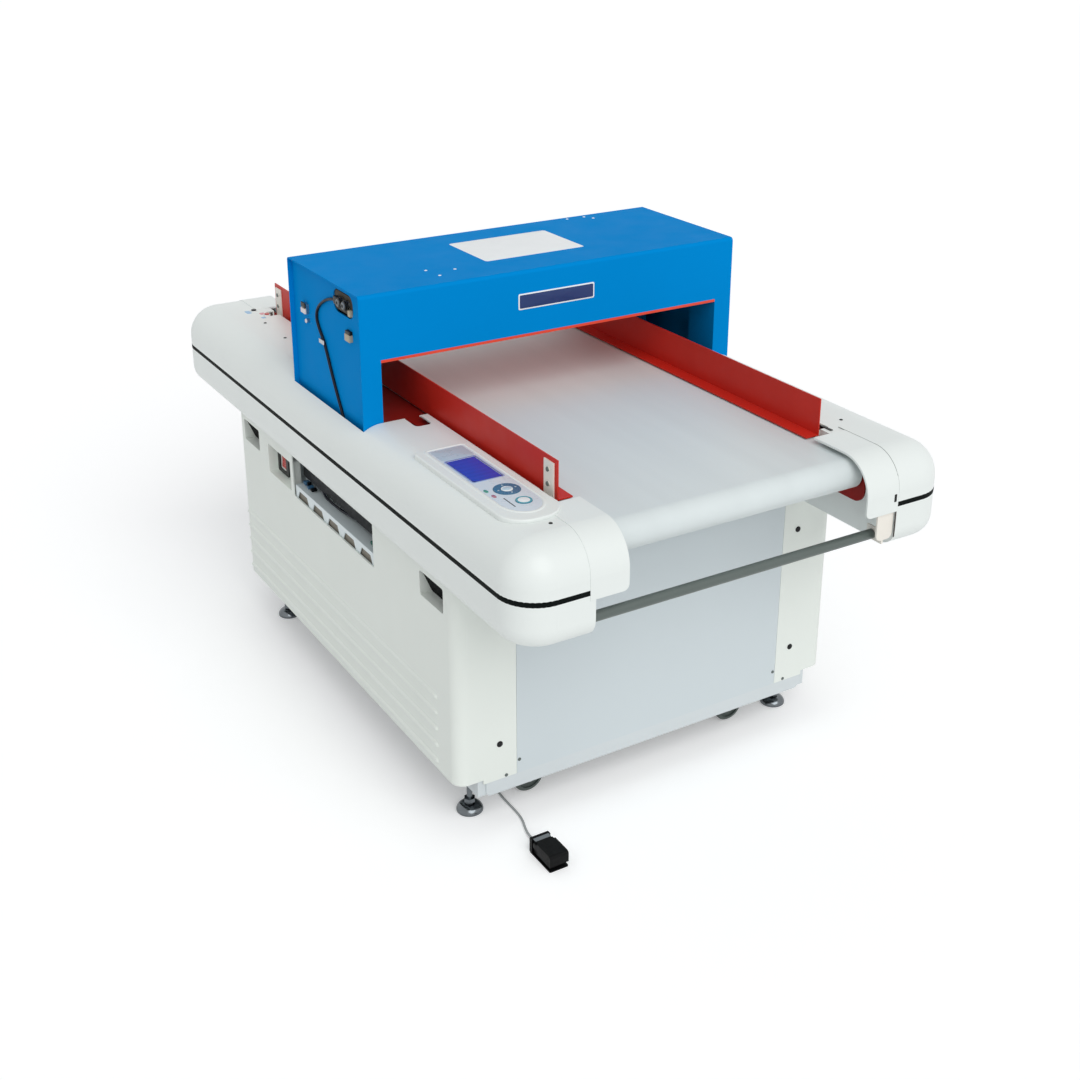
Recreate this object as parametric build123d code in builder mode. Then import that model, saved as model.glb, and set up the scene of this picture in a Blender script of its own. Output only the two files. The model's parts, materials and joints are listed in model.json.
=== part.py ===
from build123d import *
import math
import os

# Conveyor metal detector: a belt conveyor on a cabinet, carrying goods through a sensing head.
# Millimetres. X runs across the belt, Y along it (the operator's end is -Y), Z is up.
# The origin is on the floor, under the middle of the machine.

os.makedirs("parts", exist_ok=True)

# Driving sizes. The rest of the frame, the arms and the head follow from these few.
rail_gap = 600.0
arm_width = 175.5
arm_end = 845.0
cover_y = 555.0
belt_top = 732.0
tunnel_clear = 143.0
beam_height = 135.0
base_z = 80.0

# The conveyor
belt_width = rail_gap - 14.0
belt_thick = 2.0
roller_r = 29.4
roller_y = arm_end - 75.0
roller_shaft_r = 10.0
snub_r = 15.0
snub_y = roller_y - 80.0
snub_shaft_r = 6.0
bed_thick = 4.4
web_thick = 4.0
web_bottom = belt_top - 90.0
web_end = arm_end - 39.0
ledge_width = 44.0
bearing_size = 48.0
bearing_depth = 24.0

# The guide rails
rail_height = 77.0
rail_half_length = roller_y - 106.0
rail_foot = 30.0
rail_sheet = 2.5
rail_lift = 3.0
rail_travel = 10.0
bracket_y = rail_half_length - 26.0
bracket_width = 33.0

# The table arms on both sides of the belt
arm_inner = rail_gap / 2 + 12.0
arm_outer = arm_inner + arm_width
arm_top = belt_top + 12.0
arm_bottom = belt_top - 180.0
arm_corner = 0.4245 * arm_width
arm_round = 0.4103 * arm_width
arm_under_round = 40.0
arm_wall = 3.0
strip_z = belt_top - 86.0
strip_height = 7.0
strip_inset = 1.0
end_plate_x = arm_inner + 37.0
end_plate_inner = rail_gap / 2 - 30.0
end_plate_y = arm_end - 159.0
end_plate_bottom = belt_top - 100.0
end_plate_proud = 1.2
left_shell_x = end_plate_x - 12.0

# The sensing head
head_half_width = arm_outer - 34.0
head_half_depth = 178.7
leg_width = 43.5
tunnel_half = head_half_width - leg_width
tunnel_top = belt_top + tunnel_clear
head_top = tunnel_top + beam_height
head_sheet = 3.0
head_bend = 8.0
end_recess = 9.5
liner_thick = 6.0

# The cabinet and the chassis
cover_x = arm_outer - 28.5
cover_bottom = base_z + 38.0
cover_wall = 3.0
cover_corner = 26.0
seam_x = end_plate_x - 23.0
panel_sheet = 2.0
panel_bottom = base_z + 28.5
skirt_half = cover_x - 64.0
skirt_bottom = base_z - 2.0
tube = 40.0
channel_wall = 3.0
foot_x = cover_x - 67.0
foot_y = cover_y - 77.0
top_rail_z = belt_top - 130.0
top_rail_width = 60.0
top_rail_x = tunnel_half
caster_x = foot_x - 156.0
caster_pivot_y = foot_y
caster_trail = 22.0
wheel_r = 35.0
wheel_width = 22.0
wheel_lift = 2.5
tie_bar_r = 10.0
tie_bar_y = arm_end - 30.0
tie_bar_z = belt_top - 152.0

# The controls
housing_top = arm_top + 6.0
button_travel = 0.8

# Clearances
seat = 0.3
bore_gap = 0.06
touch = 0.1

# Places that follow from the driving sizes
belt_half = belt_width / 2
belt_inner_r = roller_r + seat
belt_outer_r = belt_inner_r + belt_thick
roller_z = belt_top - belt_outer_r
web_in = belt_half + 4.0
web_out = web_in + web_thick
ledge_top = belt_top - 3.0
bed_top = belt_top - belt_thick - touch
rail_x = rail_gap / 2
rail_bottom = belt_top + rail_lift
strip_low = strip_z - strip_height / 2
strip_high = strip_z + strip_height / 2
cover_top = arm_bottom
head_in = head_half_depth - head_sheet
end_plate_out = head_half_width - end_recess
head_foot = top_rail_z + tube


def save(piece, name):
    """Label a finished piece and write it to its own STEP file."""
    piece.part.label = name
    export_step(piece.part, f"parts/{name}.step")


def across(y, z):
    """A plane at one roller or shaft centre, with its X across the belt and its Y outward."""
    return Plane(origin=(0, y, z), x_dir=(1, 0, 0), z_dir=(0, 0, 1))


# Chassis: folded channels and angles welded into one frame, with caster plates and foot bosses
skirt_sheet = 4.0
rail_half = cover_y - skirt_sheet
post_y = cover_y - 35.0
cross_width = 60.0
tube_cap = 4.0
caster_plate = 4.0
kingpin_r = 6.0
stud_r = 6.0
boss_r = 16.0
boss_height = 25.0
top_half = cover_y - 15.0
top_cross_y = top_half - 160.0
cross_end = foot_x - tube / 2

with BuildPart() as chassis_frame:
    with BuildSketch(Plane.XZ.offset(-rail_half)):
        with Locations((foot_x, base_z + tube / 2), (-foot_x, base_z + tube / 2)):
            Rectangle(tube, tube)
    extrude(amount=2 * rail_half)
    with BuildSketch(Plane.XZ.offset(-rail_half + tube_cap)):
        with Locations((foot_x, base_z + tube / 2), (-foot_x, base_z + tube / 2)):
            Rectangle(tube - 2 * channel_wall, tube - 2 * channel_wall)
    extrude(amount=2 * (rail_half - tube_cap), mode=Mode.SUBTRACT)
    with BuildSketch(Plane.YZ.offset(-cross_end)):
        with Locations((caster_pivot_y, base_z + tube / 2), (-caster_pivot_y, base_z + tube / 2)):
            Rectangle(cross_width, tube)
        with Locations((caster_pivot_y, base_z + tube / 2 - channel_wall / 2),
                       (-caster_pivot_y, base_z + tube / 2 - channel_wall / 2)):
            Rectangle(cross_width - 2 * channel_wall, tube - channel_wall, mode=Mode.SUBTRACT)
    extrude(amount=2 * cross_end)
    with BuildSketch(Plane.XY.offset(base_z)):
        with GridLocations(2 * caster_x, 2 * caster_pivot_y, 2, 2):
            Rectangle(cross_width, cross_width - 2 * channel_wall)
    extrude(amount=caster_plate)
    with BuildSketch(Plane.XY.offset(base_z)):
        with GridLocations(2 * caster_x, 2 * caster_pivot_y, 2, 2):
            Circle(kingpin_r + bore_gap)
    extrude(amount=caster_plate, mode=Mode.SUBTRACT)
    with BuildSketch(Plane.XY.offset(base_z)):
        with GridLocations(2 * foot_x, 2 * foot_y, 2, 2):
            Circle(boss_r)
    extrude(amount=boss_height)
    with BuildSketch(Plane.XY.offset(base_z)):
        with GridLocations(2 * foot_x, 2 * foot_y, 2, 2):
            Circle(stud_r + bore_gap)
    extrude(amount=boss_height, mode=Mode.SUBTRACT)
    # Corner posts are angles, with their heel at the outer corner.
    with BuildSketch(Plane.XY.offset(base_z + tube)):
        for sx in (-1, 1):
            for sy in (-1, 1):
                with Locations((sx * foot_x, sy * post_y)):
                    Rectangle(tube, tube)
                with Locations((sx * (foot_x - channel_wall), sy * (post_y - channel_wall))):
                    Rectangle(tube - channel_wall, tube - channel_wall, mode=Mode.SUBTRACT)
    extrude(amount=top_rail_z - base_z - tube)
    with BuildSketch(Plane.XZ.offset(-top_half)):
        with Locations((top_rail_x, top_rail_z + tube / 2), (-top_rail_x, top_rail_z + tube / 2)):
            Rectangle(top_rail_width, tube)
        with Locations((top_rail_x, top_rail_z + (tube - channel_wall) / 2),
                       (-top_rail_x, top_rail_z + (tube - channel_wall) / 2)):
            Rectangle(top_rail_width - 2 * channel_wall, tube - channel_wall, mode=Mode.SUBTRACT)
    extrude(amount=2 * top_half)
    top_cross_end = top_rail_x - top_rail_width / 2
    with BuildSketch(Plane.YZ.offset(-top_cross_end)):
        with Locations(*[(y, top_rail_z + tube / 2) for y in (-top_cross_y, 0, top_cross_y)]):
            Rectangle(tube, tube)
        with Locations(*[(y, top_rail_z + (tube - channel_wall) / 2) for y in (-top_cross_y, 0, top_cross_y)]):
            Rectangle(tube - 2 * channel_wall, tube - channel_wall, mode=Mode.SUBTRACT)
    extrude(amount=2 * top_cross_end)
    # Skirts close the base at the front and the back, and show below the panels.
    for sy in (-1, 1):
        with BuildSketch(Plane.XZ.offset(-sy * cover_y + (skirt_sheet if sy > 0 else 0))):
            with Locations((0, (skirt_bottom + panel_bottom) / 2)):
                Rectangle(2 * skirt_half, panel_bottom - skirt_bottom)
                lower = vertices().group_by(Axis.Y)[0]
                fillet(lower, 10)
        extrude(amount=-skirt_sheet)
save(chassis_frame, "chassis_frame")

# Levelling feet: a domed chrome disc, a spanner hexagon and a stud that screws into the boss
foot_disc_r = 27.5
foot_rim = 5.0
foot_dome = 18.0
foot_hex = 21.0
hex_height = 9.0
stud_top = 114.0
nut_height = 8.0


for end, sy in (("front", -1), ("back", 1)):
    for side, sx in (("left", -1), ("right", 1)):
        spot = (sx * foot_x, sy * foot_y, 0)
        with BuildPart() as foot:
            with BuildSketch(Plane(origin=spot, x_dir=(1, 0, 0), z_dir=(0, -1, 0))):
                with BuildLine():
                    Polyline((0, 0), (foot_disc_r - 1.5, 0), (foot_disc_r, 1.5), (foot_disc_r, foot_rim))
                    ThreePointArc((foot_disc_r, foot_rim), (0.8 * foot_disc_r, foot_dome - 4.4),
                                  (stud_r + 3, foot_dome))
                    Polyline((stud_r + 3, foot_dome), (stud_r, foot_dome + 3), (stud_r, stud_top - 1.5),
                             (stud_r - 1.5, stud_top), (0, stud_top), (0, 0))
                make_face()
            revolve(axis=Axis(spot, (0, 0, 1)))
            with BuildSketch(Plane(origin=(spot[0], spot[1], foot_dome + 3))):
                RegularPolygon(foot_hex / 2, 6, major_radius=False)
            extrude(amount=hex_height)
        save(foot, f"foot_{end}_{side}")

with BuildPart() as lock_nuts:
    with BuildSketch(Plane.XY.offset(base_z - nut_height)):
        with GridLocations(2 * foot_x, 2 * foot_y, 2, 2):
            RegularPolygon(foot_hex / 2, 6, major_radius=False)
            Circle(stud_r + bore_gap, mode=Mode.SUBTRACT)
    extrude(amount=nut_height)
save(lock_nuts, "lock_nuts")

# Casters: the front pair swivels on a kingpin and rests turned outwards, the back pair is fixed
fork_sheet = 3.0
fork_gap = 2.0
axle_r = 4.0
axle_z = wheel_lift + wheel_r
fork_top = base_z - seat
fork_cheek = wheel_width / 2 + fork_gap
fork_disc_r = 23.0
hub_r = 12.0
tread_depth = 8.0


def fork_form(outward):
    """One fork with its pivot over the origin and its wheel out along X: disc, cheeks, axle and kingpin."""
    with BuildPart() as fork:
        with BuildSketch(Plane.XY.offset(fork_top - fork_sheet)):
            Circle(fork_disc_r)
        extrude(amount=fork_sheet)
        for side in (-1, 1):
            with BuildSketch(Plane.XZ.offset(-side * fork_cheek)):
                with Locations((outward * caster_trail, axle_z)):
                    Circle(2.5 * axle_r)
                with Locations((0, fork_top - fork_sheet / 2)):
                    Rectangle(1.5 * fork_disc_r, fork_sheet)
                make_hull()
            extrude(amount=-side * fork_sheet)
        with BuildSketch(Plane.XZ.offset(-fork_cheek - fork_sheet)):
            with Locations((outward * caster_trail, axle_z)):
                Circle(axle_r)
        extrude(amount=2 * (fork_cheek + fork_sheet))
        with BuildSketch(Plane.XY.offset(fork_top)):
            Circle(kingpin_r)
        extrude(amount=seat + caster_plate + 6)
    return fork.part


def wheel_form():
    """One wheel on an axis along Y through the origin: rim, sunk web, hub and bore."""
    half = wheel_width / 2
    bore = axle_r + bore_gap
    with BuildPart() as wheel:
        with BuildSketch(Plane.XY):
            with BuildLine():
                Polyline((bore, -half), (hub_r, -half), (hub_r + 2, -half + 4), (wheel_r - tread_depth, -half + 4),
                         (wheel_r - tread_depth, -half), (wheel_r - 3, -half), (wheel_r, -half + 3),
                         (wheel_r, half - 3), (wheel_r - 3, half), (wheel_r - tread_depth, half),
                         (wheel_r - tread_depth, half - 4), (hub_r + 2, half - 4), (hub_r, half), (bore, half),
                         close=True)
            make_face()
        revolve(axis=Axis.Y)
    return wheel.part


for side, sx in (("left", -1), ("right", 1)):
    with BuildPart() as fork:
        add(fork_form(sx).moved(Location((sx * caster_x, -caster_pivot_y, 0))))
    save(fork, f"caster_fork_front_{side}")
    with BuildPart() as wheel:
        add(wheel_form().moved(Location((sx * (caster_x + caster_trail), -caster_pivot_y, axle_z))))
    save(wheel, f"caster_wheel_front_{side}")
    with BuildPart() as wheel:
        add(wheel_form().moved(Location((sx * caster_x, caster_pivot_y + caster_trail, axle_z), (0, 0, 90))))
    save(wheel, f"caster_wheel_back_{side}")

with BuildPart() as back_forks:
    for sx in (-1, 1):
        add(fork_form(1).moved(Location((sx * caster_x, caster_pivot_y, 0), (0, 0, 90))))
save(back_forks, "caster_forks_back")

# Cabinet side covers: a moulded shell that wraps both corners, with beads, hand holes and,
# on the left, the long slot and the switch recess
bead_count = 5
bead_pitch = 36.5
bead_low = cover_bottom + 20.0
bead_front = cover_y - 75.0
bead_back = cover_y - 19.0
bead_height = 3.5
bead_half = 7.0
hand_y = cover_y - 88.0
hand_width = 96.0
hand_z = cover_top - 44.0
hand_height = 52.0
hand_depth = 25.0
slot_front = 209.0
slot_back = 214.0
slot_low = cover_top - 106.0
slot_high = cover_top - 6.0
recess_front = 228.0
recess_back = 362.0
recess_low = cover_top - 100.0
recess_high = cover_top - 30.0
recess_depth = 21.0
rocker_hole_y = 322.0
rocker_width = 34.0
rocker_height = 42.0

with BuildPart() as side_cover_right:
    with BuildSketch(Plane.XY.offset(cover_bottom)):
        with BuildLine():
            Polyline((seam_x, -cover_y), (cover_x, -cover_y), (cover_x, cover_y), (seam_x, cover_y), close=True)
        make_face()
    extrude(amount=cover_top - cover_bottom)
    outer = side_cover_right.edges().filter_by(Axis.Z).group_by(Axis.X)[-1]
    fillet(outer, cover_corner)
    with BuildSketch(Plane.XY.offset(cover_bottom)):
        with BuildLine():
            Polyline((seam_x - 1, -cover_y + cover_wall), (cover_x - cover_wall, -cover_y + cover_wall),
                     (cover_x - cover_wall, cover_y - cover_wall), (seam_x - 1, cover_y - cover_wall), close=True)
        make_face()
        corners = vertices().group_by(Axis.X)[-1]
        fillet(corners, cover_corner - cover_wall)
    extrude(amount=cover_top - cover_bottom, mode=Mode.SUBTRACT)
    # The returns reach down beside the skirt and up between the arms.
    for sy in (-1, 1):
        with BuildSketch(Plane.XZ.offset(-sy * cover_y + (cover_wall if sy > 0 else 0))):
            with BuildLine():
                Polyline((seam_x, panel_bottom), (skirt_half + 6, panel_bottom), (skirt_half + 6, cover_bottom),
                         (seam_x, cover_bottom), close=True)
            make_face()
            with BuildLine():
                Polyline((seam_x, cover_top), (end_plate_x, cover_top), (end_plate_x, web_bottom - 4),
                         (seam_x, web_bottom - 4), close=True)
            make_face()
        extrude(amount=-cover_wall)
    # Beads run along the lower side and stop short of the front corner.
    for number in range(bead_count):
        z = bead_low + number * bead_pitch
        with BuildSketch(Plane.YZ.offset(cover_x - 1)):
            with Locations(((bead_back - bead_front) / 2, z)):
                SlotOverall(bead_front + bead_back, 2 * bead_half)
        extrude(amount=1 + bead_height, taper=45)
    # Hand holes, each with a floor for the fingers between two three-cornered cheeks
    hand_in = cover_x - cover_wall
    hand_low = hand_z - hand_height / 2
    hand_high = hand_z + hand_height / 2
    for sy in (-1, 1):
        with BuildSketch(Plane.YZ.offset(hand_in)):
            with Locations((sy * hand_y, hand_z)):
                RectangleRounded(hand_width, hand_height, 5)
        extrude(amount=cover_wall, mode=Mode.SUBTRACT)
        with BuildSketch(Plane.XY.offset(hand_low - cover_wall)):
            with Locations((hand_in - hand_depth / 2, sy * hand_y)):
                Rectangle(hand_depth, hand_width + 2 * cover_wall)
        extrude(amount=cover_wall)
        for side in (-1, 1):
            with BuildSketch(Plane.XZ.offset(-sy * hand_y + side * hand_width / 2)):
                with BuildLine():
                    Polyline((hand_in, hand_low), (hand_in, hand_high), (hand_in - hand_depth, hand_low),
                             close=True)
                make_face()
            extrude(amount=side * cover_wall)
save(side_cover_right, "side_cover_right")

with BuildPart() as side_cover_left:
    mirror(side_cover_right.part, about=Plane.YZ)
    with BuildSketch(Plane.YZ.offset(-cover_x)):
        with BuildLine():
            Polyline((-slot_front, slot_high), (slot_back, slot_high), (slot_back, slot_low),
                     (-slot_front, slot_low), close=True)
        make_face()
        fillet(vertices(), 4)
    extrude(amount=cover_wall, mode=Mode.SUBTRACT)
    with BuildSketch(Plane.YZ.offset(-cover_x)):
        with Locations(((recess_front + recess_back) / 2, (recess_low + recess_high) / 2)):
            RectangleRounded(recess_back - recess_front, recess_high - recess_low, 4)
    extrude(amount=cover_wall, mode=Mode.SUBTRACT)
save(side_cover_left, "side_cover_left")

# Front and back panels
panel_top = web_bottom - 4
for name, sy in (("front_panel", -1), ("back_panel", 1)):
    with BuildPart() as panel:
        with BuildSketch(Plane.XZ.offset(-sy * cover_y + (panel_sheet if sy > 0 else 0))):
            with Locations((0, (panel_bottom + panel_top) / 2)):
                Rectangle(2 * (seam_x - 0.6), panel_top - panel_bottom)
        extrude(amount=-panel_sheet)
    save(panel, name)

# Power rocker switch, on its pivot in a sunk tray, so that a passer-by can't knock it
rocker_z = (recess_low + recess_high) / 2
rocker_face = cover_x - cover_wall - recess_depth + 2
tray_middle = ((recess_front + recess_back) / 2, rocker_z)

with BuildPart() as rocker_frame:
    with BuildSketch(Plane.YZ.offset(-cover_x + cover_wall)):
        with Locations(tray_middle):
            RectangleRounded(recess_back - recess_front + 4, recess_high - recess_low + 4, 6)
    extrude(amount=recess_depth)
    with BuildSketch(Plane.YZ.offset(-cover_x + cover_wall)):
        with Locations(tray_middle):
            RectangleRounded(recess_back - recess_front, recess_high - recess_low, 4)
    extrude(amount=recess_depth - 2, mode=Mode.SUBTRACT)
    with BuildSketch(Plane.YZ.offset(-rocker_face)):
        with Locations((rocker_hole_y, rocker_z)):
            Rectangle(rocker_width - 4, rocker_height - 4)
    extrude(amount=2, mode=Mode.SUBTRACT)
    with BuildSketch(Plane.YZ.offset(-rocker_face + 2)):
        with Locations((rocker_hole_y, rocker_z)):
            Rectangle(rocker_width - 0.4, rocker_height - 0.4)
            Rectangle(rocker_width - 4, rocker_height - 4, mode=Mode.SUBTRACT)
    extrude(amount=10)
    with BuildSketch(Plane.YZ.offset(-rocker_face + 12)):
        with Locations((rocker_hole_y, rocker_z)):
            Rectangle(rocker_width - 0.4, rocker_height - 0.4)
    extrude(amount=8)
save(rocker_frame, "power_switch_frame")

with BuildPart() as power_rocker:
    pivot_x = -rocker_face + 5
    with BuildSketch(Plane.XZ.offset(-rocker_hole_y + (rocker_width - 5) / 2)):
        with BuildLine():
            half = rocker_height / 2 - 3.3
            Polyline((pivot_x + 3, rocker_z - half + 2), (pivot_x - 2, rocker_z - half),
                     (pivot_x - 5, rocker_z - half), (pivot_x - 3, rocker_z), (pivot_x - 6.5, rocker_z + half),
                     (pivot_x - 3.5, rocker_z + half), (pivot_x + 3, rocker_z + half - 2), close=True)
        make_face()
    extrude(amount=-(rocker_width - 5))
save(power_rocker, "power_rocker")


# Conveyor side frames: a web with a ledge folded outwards, widened inside the head
motor_y = roller_y - 290.0
motor_z = belt_top - 136.0
motor_tab = 42.0
floor_half = head_half_depth - 6.0
floor_x = tunnel_half - 1.0
bearing_hole_r = 22.0

with BuildPart() as conveyor_side_frames:
    for sx in (-1, 1):
        start = web_in if sx > 0 else -web_out
        with BuildSketch(Plane.YZ.offset(start)):
            with Locations((0, (web_bottom + ledge_top) / 2)):
                RectangleRounded(2 * web_end, ledge_top - web_bottom, 26)
            if sx > 0:
                with Locations((motor_y, (motor_z - motor_tab + web_bottom + 30) / 2)):
                    Rectangle(2 * motor_tab, web_bottom + 30 - motor_z + motor_tab)
            with Locations((-roller_y, roller_z), (roller_y, roller_z)):
                Circle(bearing_hole_r, mode=Mode.SUBTRACT)
            with Locations((snub_y, roller_z - belt_outer_r - seat - snub_r)):
                Circle(snub_shaft_r + bore_gap, mode=Mode.SUBTRACT)
            if sx > 0:
                with Locations((motor_y, motor_z)):
                    Circle(18, mode=Mode.SUBTRACT)
        extrude(amount=web_thick)
        with BuildSketch(Plane.XY.offset(ledge_top - web_thick)):
            with Locations((sx * (web_out + ledge_width / 2 - 1), 0)):
                Rectangle(ledge_width + 2, 2 * (roller_y - 34))
            with Locations((sx * (web_out + floor_x) / 2, 0)):
                Rectangle(floor_x - web_out + 2, 2 * floor_half)
        extrude(amount=web_thick)
save(conveyor_side_frames, "conveyor_side_frames")

# Rollers: the drive roller is at the back and carries its toothed pulley
pulley_r = 24.0
pulley_x = rail_gap / 2 + 53.0
pulley_width = 20.0
pulley_teeth = 18
tooth_depth = 2.2
shaft_end = web_out + bearing_depth + 6
drive_shaft_end = pulley_x + pulley_width + 4


def roller(y, z, radius, shaft_r, left_end, right_end):
    """Add a roller with its shaft ends, turned about its own axis along X."""
    with BuildSketch(across(y, z)) as section:
        with BuildLine():
            Polyline((left_end, 0), (left_end, shaft_r), (-belt_half, shaft_r), (-belt_half, radius),
                     (belt_half, radius), (belt_half, shaft_r), (right_end, shaft_r), (right_end, 0), close=True)
        make_face()
    revolve(section.sketch, axis=Axis((0, y, z), (1, 0, 0)))


def toothed_pulley(y, z):
    """Add a toothed pulley on the shaft at y, z."""
    with BuildSketch(Plane.YZ.offset(pulley_x)) as section:
        with Locations((y, z)):
            Circle(pulley_r)
            with PolarLocations(pulley_r, pulley_teeth):
                Rectangle(2 * tooth_depth, 3.6, mode=Mode.SUBTRACT)
    extrude(section.sketch, amount=pulley_width)


with BuildPart() as drive_roller:
    roller(roller_y, roller_z, roller_r, roller_shaft_r, -shaft_end, drive_shaft_end)
    toothed_pulley(roller_y, roller_z)
save(drive_roller, "drive_roller")

with BuildPart() as idler_roller:
    roller(-roller_y, roller_z, roller_r, roller_shaft_r, -shaft_end, shaft_end)
save(idler_roller, "idler_roller")

snub_z = roller_z - belt_outer_r - seat - snub_r
with BuildPart() as snub_roller:
    roller(snub_y, snub_z, snub_r, snub_shaft_r, -web_out - 4, web_out + 4)
save(snub_roller, "snub_roller")

with BuildPart() as bearing_blocks:
    for sx in (-1, 1):
        for sy in (-1, 1):
            with BuildSketch(Plane.YZ.offset(sx * web_out if sx > 0 else -web_out - bearing_depth)):
                with Locations((sy * roller_y, roller_z)):
                    RectangleRounded(bearing_size + 20, bearing_size, 12)
                    Circle(roller_shaft_r + bore_gap, mode=Mode.SUBTRACT)
            extrude(amount=bearing_depth)
save(bearing_blocks, "bearing_blocks")

# Belt: one closed loop round both rollers
with BuildPart() as conveyor_belt:
    for radius, mode in ((belt_outer_r, Mode.ADD), (belt_inner_r, Mode.SUBTRACT)):
        with BuildSketch(Plane.YZ.offset(-belt_half)):
            with Locations((-roller_y, roller_z), (roller_y, roller_z)):
                Circle(radius)
            make_hull()
        extrude(amount=belt_width, mode=mode)
save(conveyor_belt, "conveyor_belt")

with BuildPart() as slider_bed:
    with BuildSketch(Plane.YZ.offset(-web_in)):
        with BuildLine():
            end = roller_y - belt_inner_r - 3
            Polyline((-end, bed_top - bed_thick), (-end, bed_top - 2), (-end + 6, bed_top), (end - 6, bed_top),
                     (end, bed_top - 2), (end, bed_top - bed_thick), close=True)
        make_face()
    extrude(amount=2 * web_in)
save(slider_bed, "slider_bed")

# Lower sensor: a sealed box between the bed and the return run
lower_sensor_half = 150.0
with BuildPart() as lower_sensor:
    with BuildSketch(Plane.XY.offset(roller_z - belt_inner_r + 4)):
        RectangleRounded(2 * web_in, 2 * lower_sensor_half, 1)
    extrude(amount=bed_top - bed_thick - (roller_z - belt_inner_r + 4))
save(lower_sensor, "lower_sensor")

# Drive: a gear motor on the right frame, its pulley and the timing belt
gearbox_r = 38.0
gearbox_depth = 46.0
motor_r = 34.0
motor_length = 120.0
motor_shaft_r = 8.0
motor_bore_depth = 14.0

with BuildPart() as drive_motor:
    with BuildSketch(Plane.YZ.offset(web_in)):
        with Locations((motor_y, motor_z)):
            Circle(gearbox_r)
    extrude(amount=-gearbox_depth)
    with BuildSketch(Plane.YZ.offset(web_in - gearbox_depth)):
        with Locations((motor_y, motor_z)):
            Circle(motor_r)
    extrude(amount=-motor_length)
    with BuildSketch(Plane.YZ.offset(web_in)):
        with Locations((motor_y, motor_z)):
            Circle(motor_shaft_r + bore_gap)
    extrude(amount=-motor_bore_depth, mode=Mode.SUBTRACT)
save(drive_motor, "drive_motor")

with BuildPart() as motor_pulley:
    with BuildSketch(Plane.YZ.offset(web_in - motor_bore_depth + seat)):
        with Locations((motor_y, motor_z)):
            Circle(motor_shaft_r)
    extrude(amount=drive_shaft_end - web_in + motor_bore_depth - seat)
    toothed_pulley(motor_y, motor_z)
save(motor_pulley, "motor_pulley")

timing_inner = pulley_r + seat
with BuildPart() as timing_belt:
    for radius, mode in ((timing_inner + 2, Mode.ADD), (timing_inner, Mode.SUBTRACT)):
        with BuildSketch(Plane.YZ.offset(pulley_x + 1)):
            with Locations((roller_y, roller_z), (motor_y, motor_z)):
                Circle(radius)
            make_hull()
        extrude(amount=pulley_width - 2, mode=mode)
save(timing_belt, "timing_belt")

# Guide rails: a folded angle over each edge of the belt, lifted on slotted brackets
for side, sx in (("left", -1), ("right", 1)):
    with BuildPart() as guide_rail:
        with BuildSketch(Plane.XZ.offset(-rail_half_length)):
            with BuildLine():
                top = rail_bottom + rail_height
                Polyline((sx * (rail_x - rail_foot), rail_bottom), (sx * (rail_x + rail_sheet), rail_bottom),
                         (sx * (rail_x + rail_sheet), top), (sx * rail_x, top),
                         (sx * rail_x, rail_bottom + rail_sheet),
                         (sx * (rail_x - rail_foot), rail_bottom + rail_sheet), close=True)
            make_face()
        extrude(amount=2 * rail_half_length)
    save(guide_rail, f"guide_rail_{side}")

bracket_in = rail_x + rail_sheet + seat
bracket_top = rail_bottom + rail_height - 8
bracket_foot = 28.0
bracket_sheet = 2.5
screw_r = 4.0

with BuildPart() as rail_brackets:
    for sx in (-1, 1):
        for sy in (-1, 1):
            with BuildSketch(Plane.XZ.offset(-sy * bracket_y + bracket_width / 2)):
                with BuildLine():
                    Polyline((sx * bracket_in, ledge_top), (sx * (bracket_in + bracket_foot), ledge_top),
                             (sx * (bracket_in + bracket_foot), ledge_top + bracket_sheet),
                             (sx * (bracket_in + bracket_sheet), ledge_top + bracket_sheet),
                             (sx * (bracket_in + bracket_sheet), bracket_top), (sx * bracket_in, bracket_top),
                             close=True)
                make_face()
            extrude(amount=-bracket_width)
            with BuildSketch(Plane.YZ.offset(sx * (bracket_in + bracket_sheet))):
                with Locations((sy * bracket_y, bracket_top - 16), (sy * bracket_y, bracket_top - 44)):
                    Circle(screw_r)
            extrude(amount=sx * 2)
save(rail_brackets, "rail_brackets")


# Table arms. Each arm is a long pillow: a plan with round outer corners, and round edges all
# along. An upper and a lower shell meet at a black rubber strip.
def arm_form(low, high, grow):
    """Add the right arm's solid pillow between two heights, grown outwards by a distance."""
    with BuildSketch(Plane.XY.offset(low)) as plan:
        with BuildLine():
            Polyline((end_plate_x, -arm_end - grow), (arm_outer + grow, -arm_end - grow),
                     (arm_outer + grow, arm_end + grow), (end_plate_x, arm_end + grow),
                     (end_plate_x, end_plate_y), (arm_inner, end_plate_y),
                     (arm_inner, -end_plate_y), (end_plate_x, -end_plate_y), close=True)
        make_face()
        fillet(plan.vertices().group_by(Axis.X)[-1], arm_corner + grow)
    extrude(plan.sketch, amount=high - low)


def rim(face, inner_limit):
    """The outer edges of a level face: all but those facing the belt."""
    edges = face.edges()
    return [e for e in edges if (e @ 0.5).X > inner_limit and not (
        abs(abs((e @ 0.5).Y) - end_plate_y) < 1)]


scallop_x = (arm_inner + 17.0, arm_inner + 53.0)
scallop_y = (head_half_depth + 8.3, head_half_depth + 55.3)
lip_depth = arm_top - ledge_top
bracket_notch = 22.0
leg_gap = 1.0

with BuildPart() as upper_form:
    arm_form(strip_high, arm_top, 0)
    fillet(rim(upper_form.faces().sort_by(Axis.Z)[-1], end_plate_x), arm_round)

with BuildPart() as upper_hollow:
    arm_form(strip_high - 1, arm_top - arm_wall, -arm_wall)
    fillet(rim(upper_hollow.faces().sort_by(Axis.Z)[-1], end_plate_x), arm_round - arm_wall)

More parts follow.
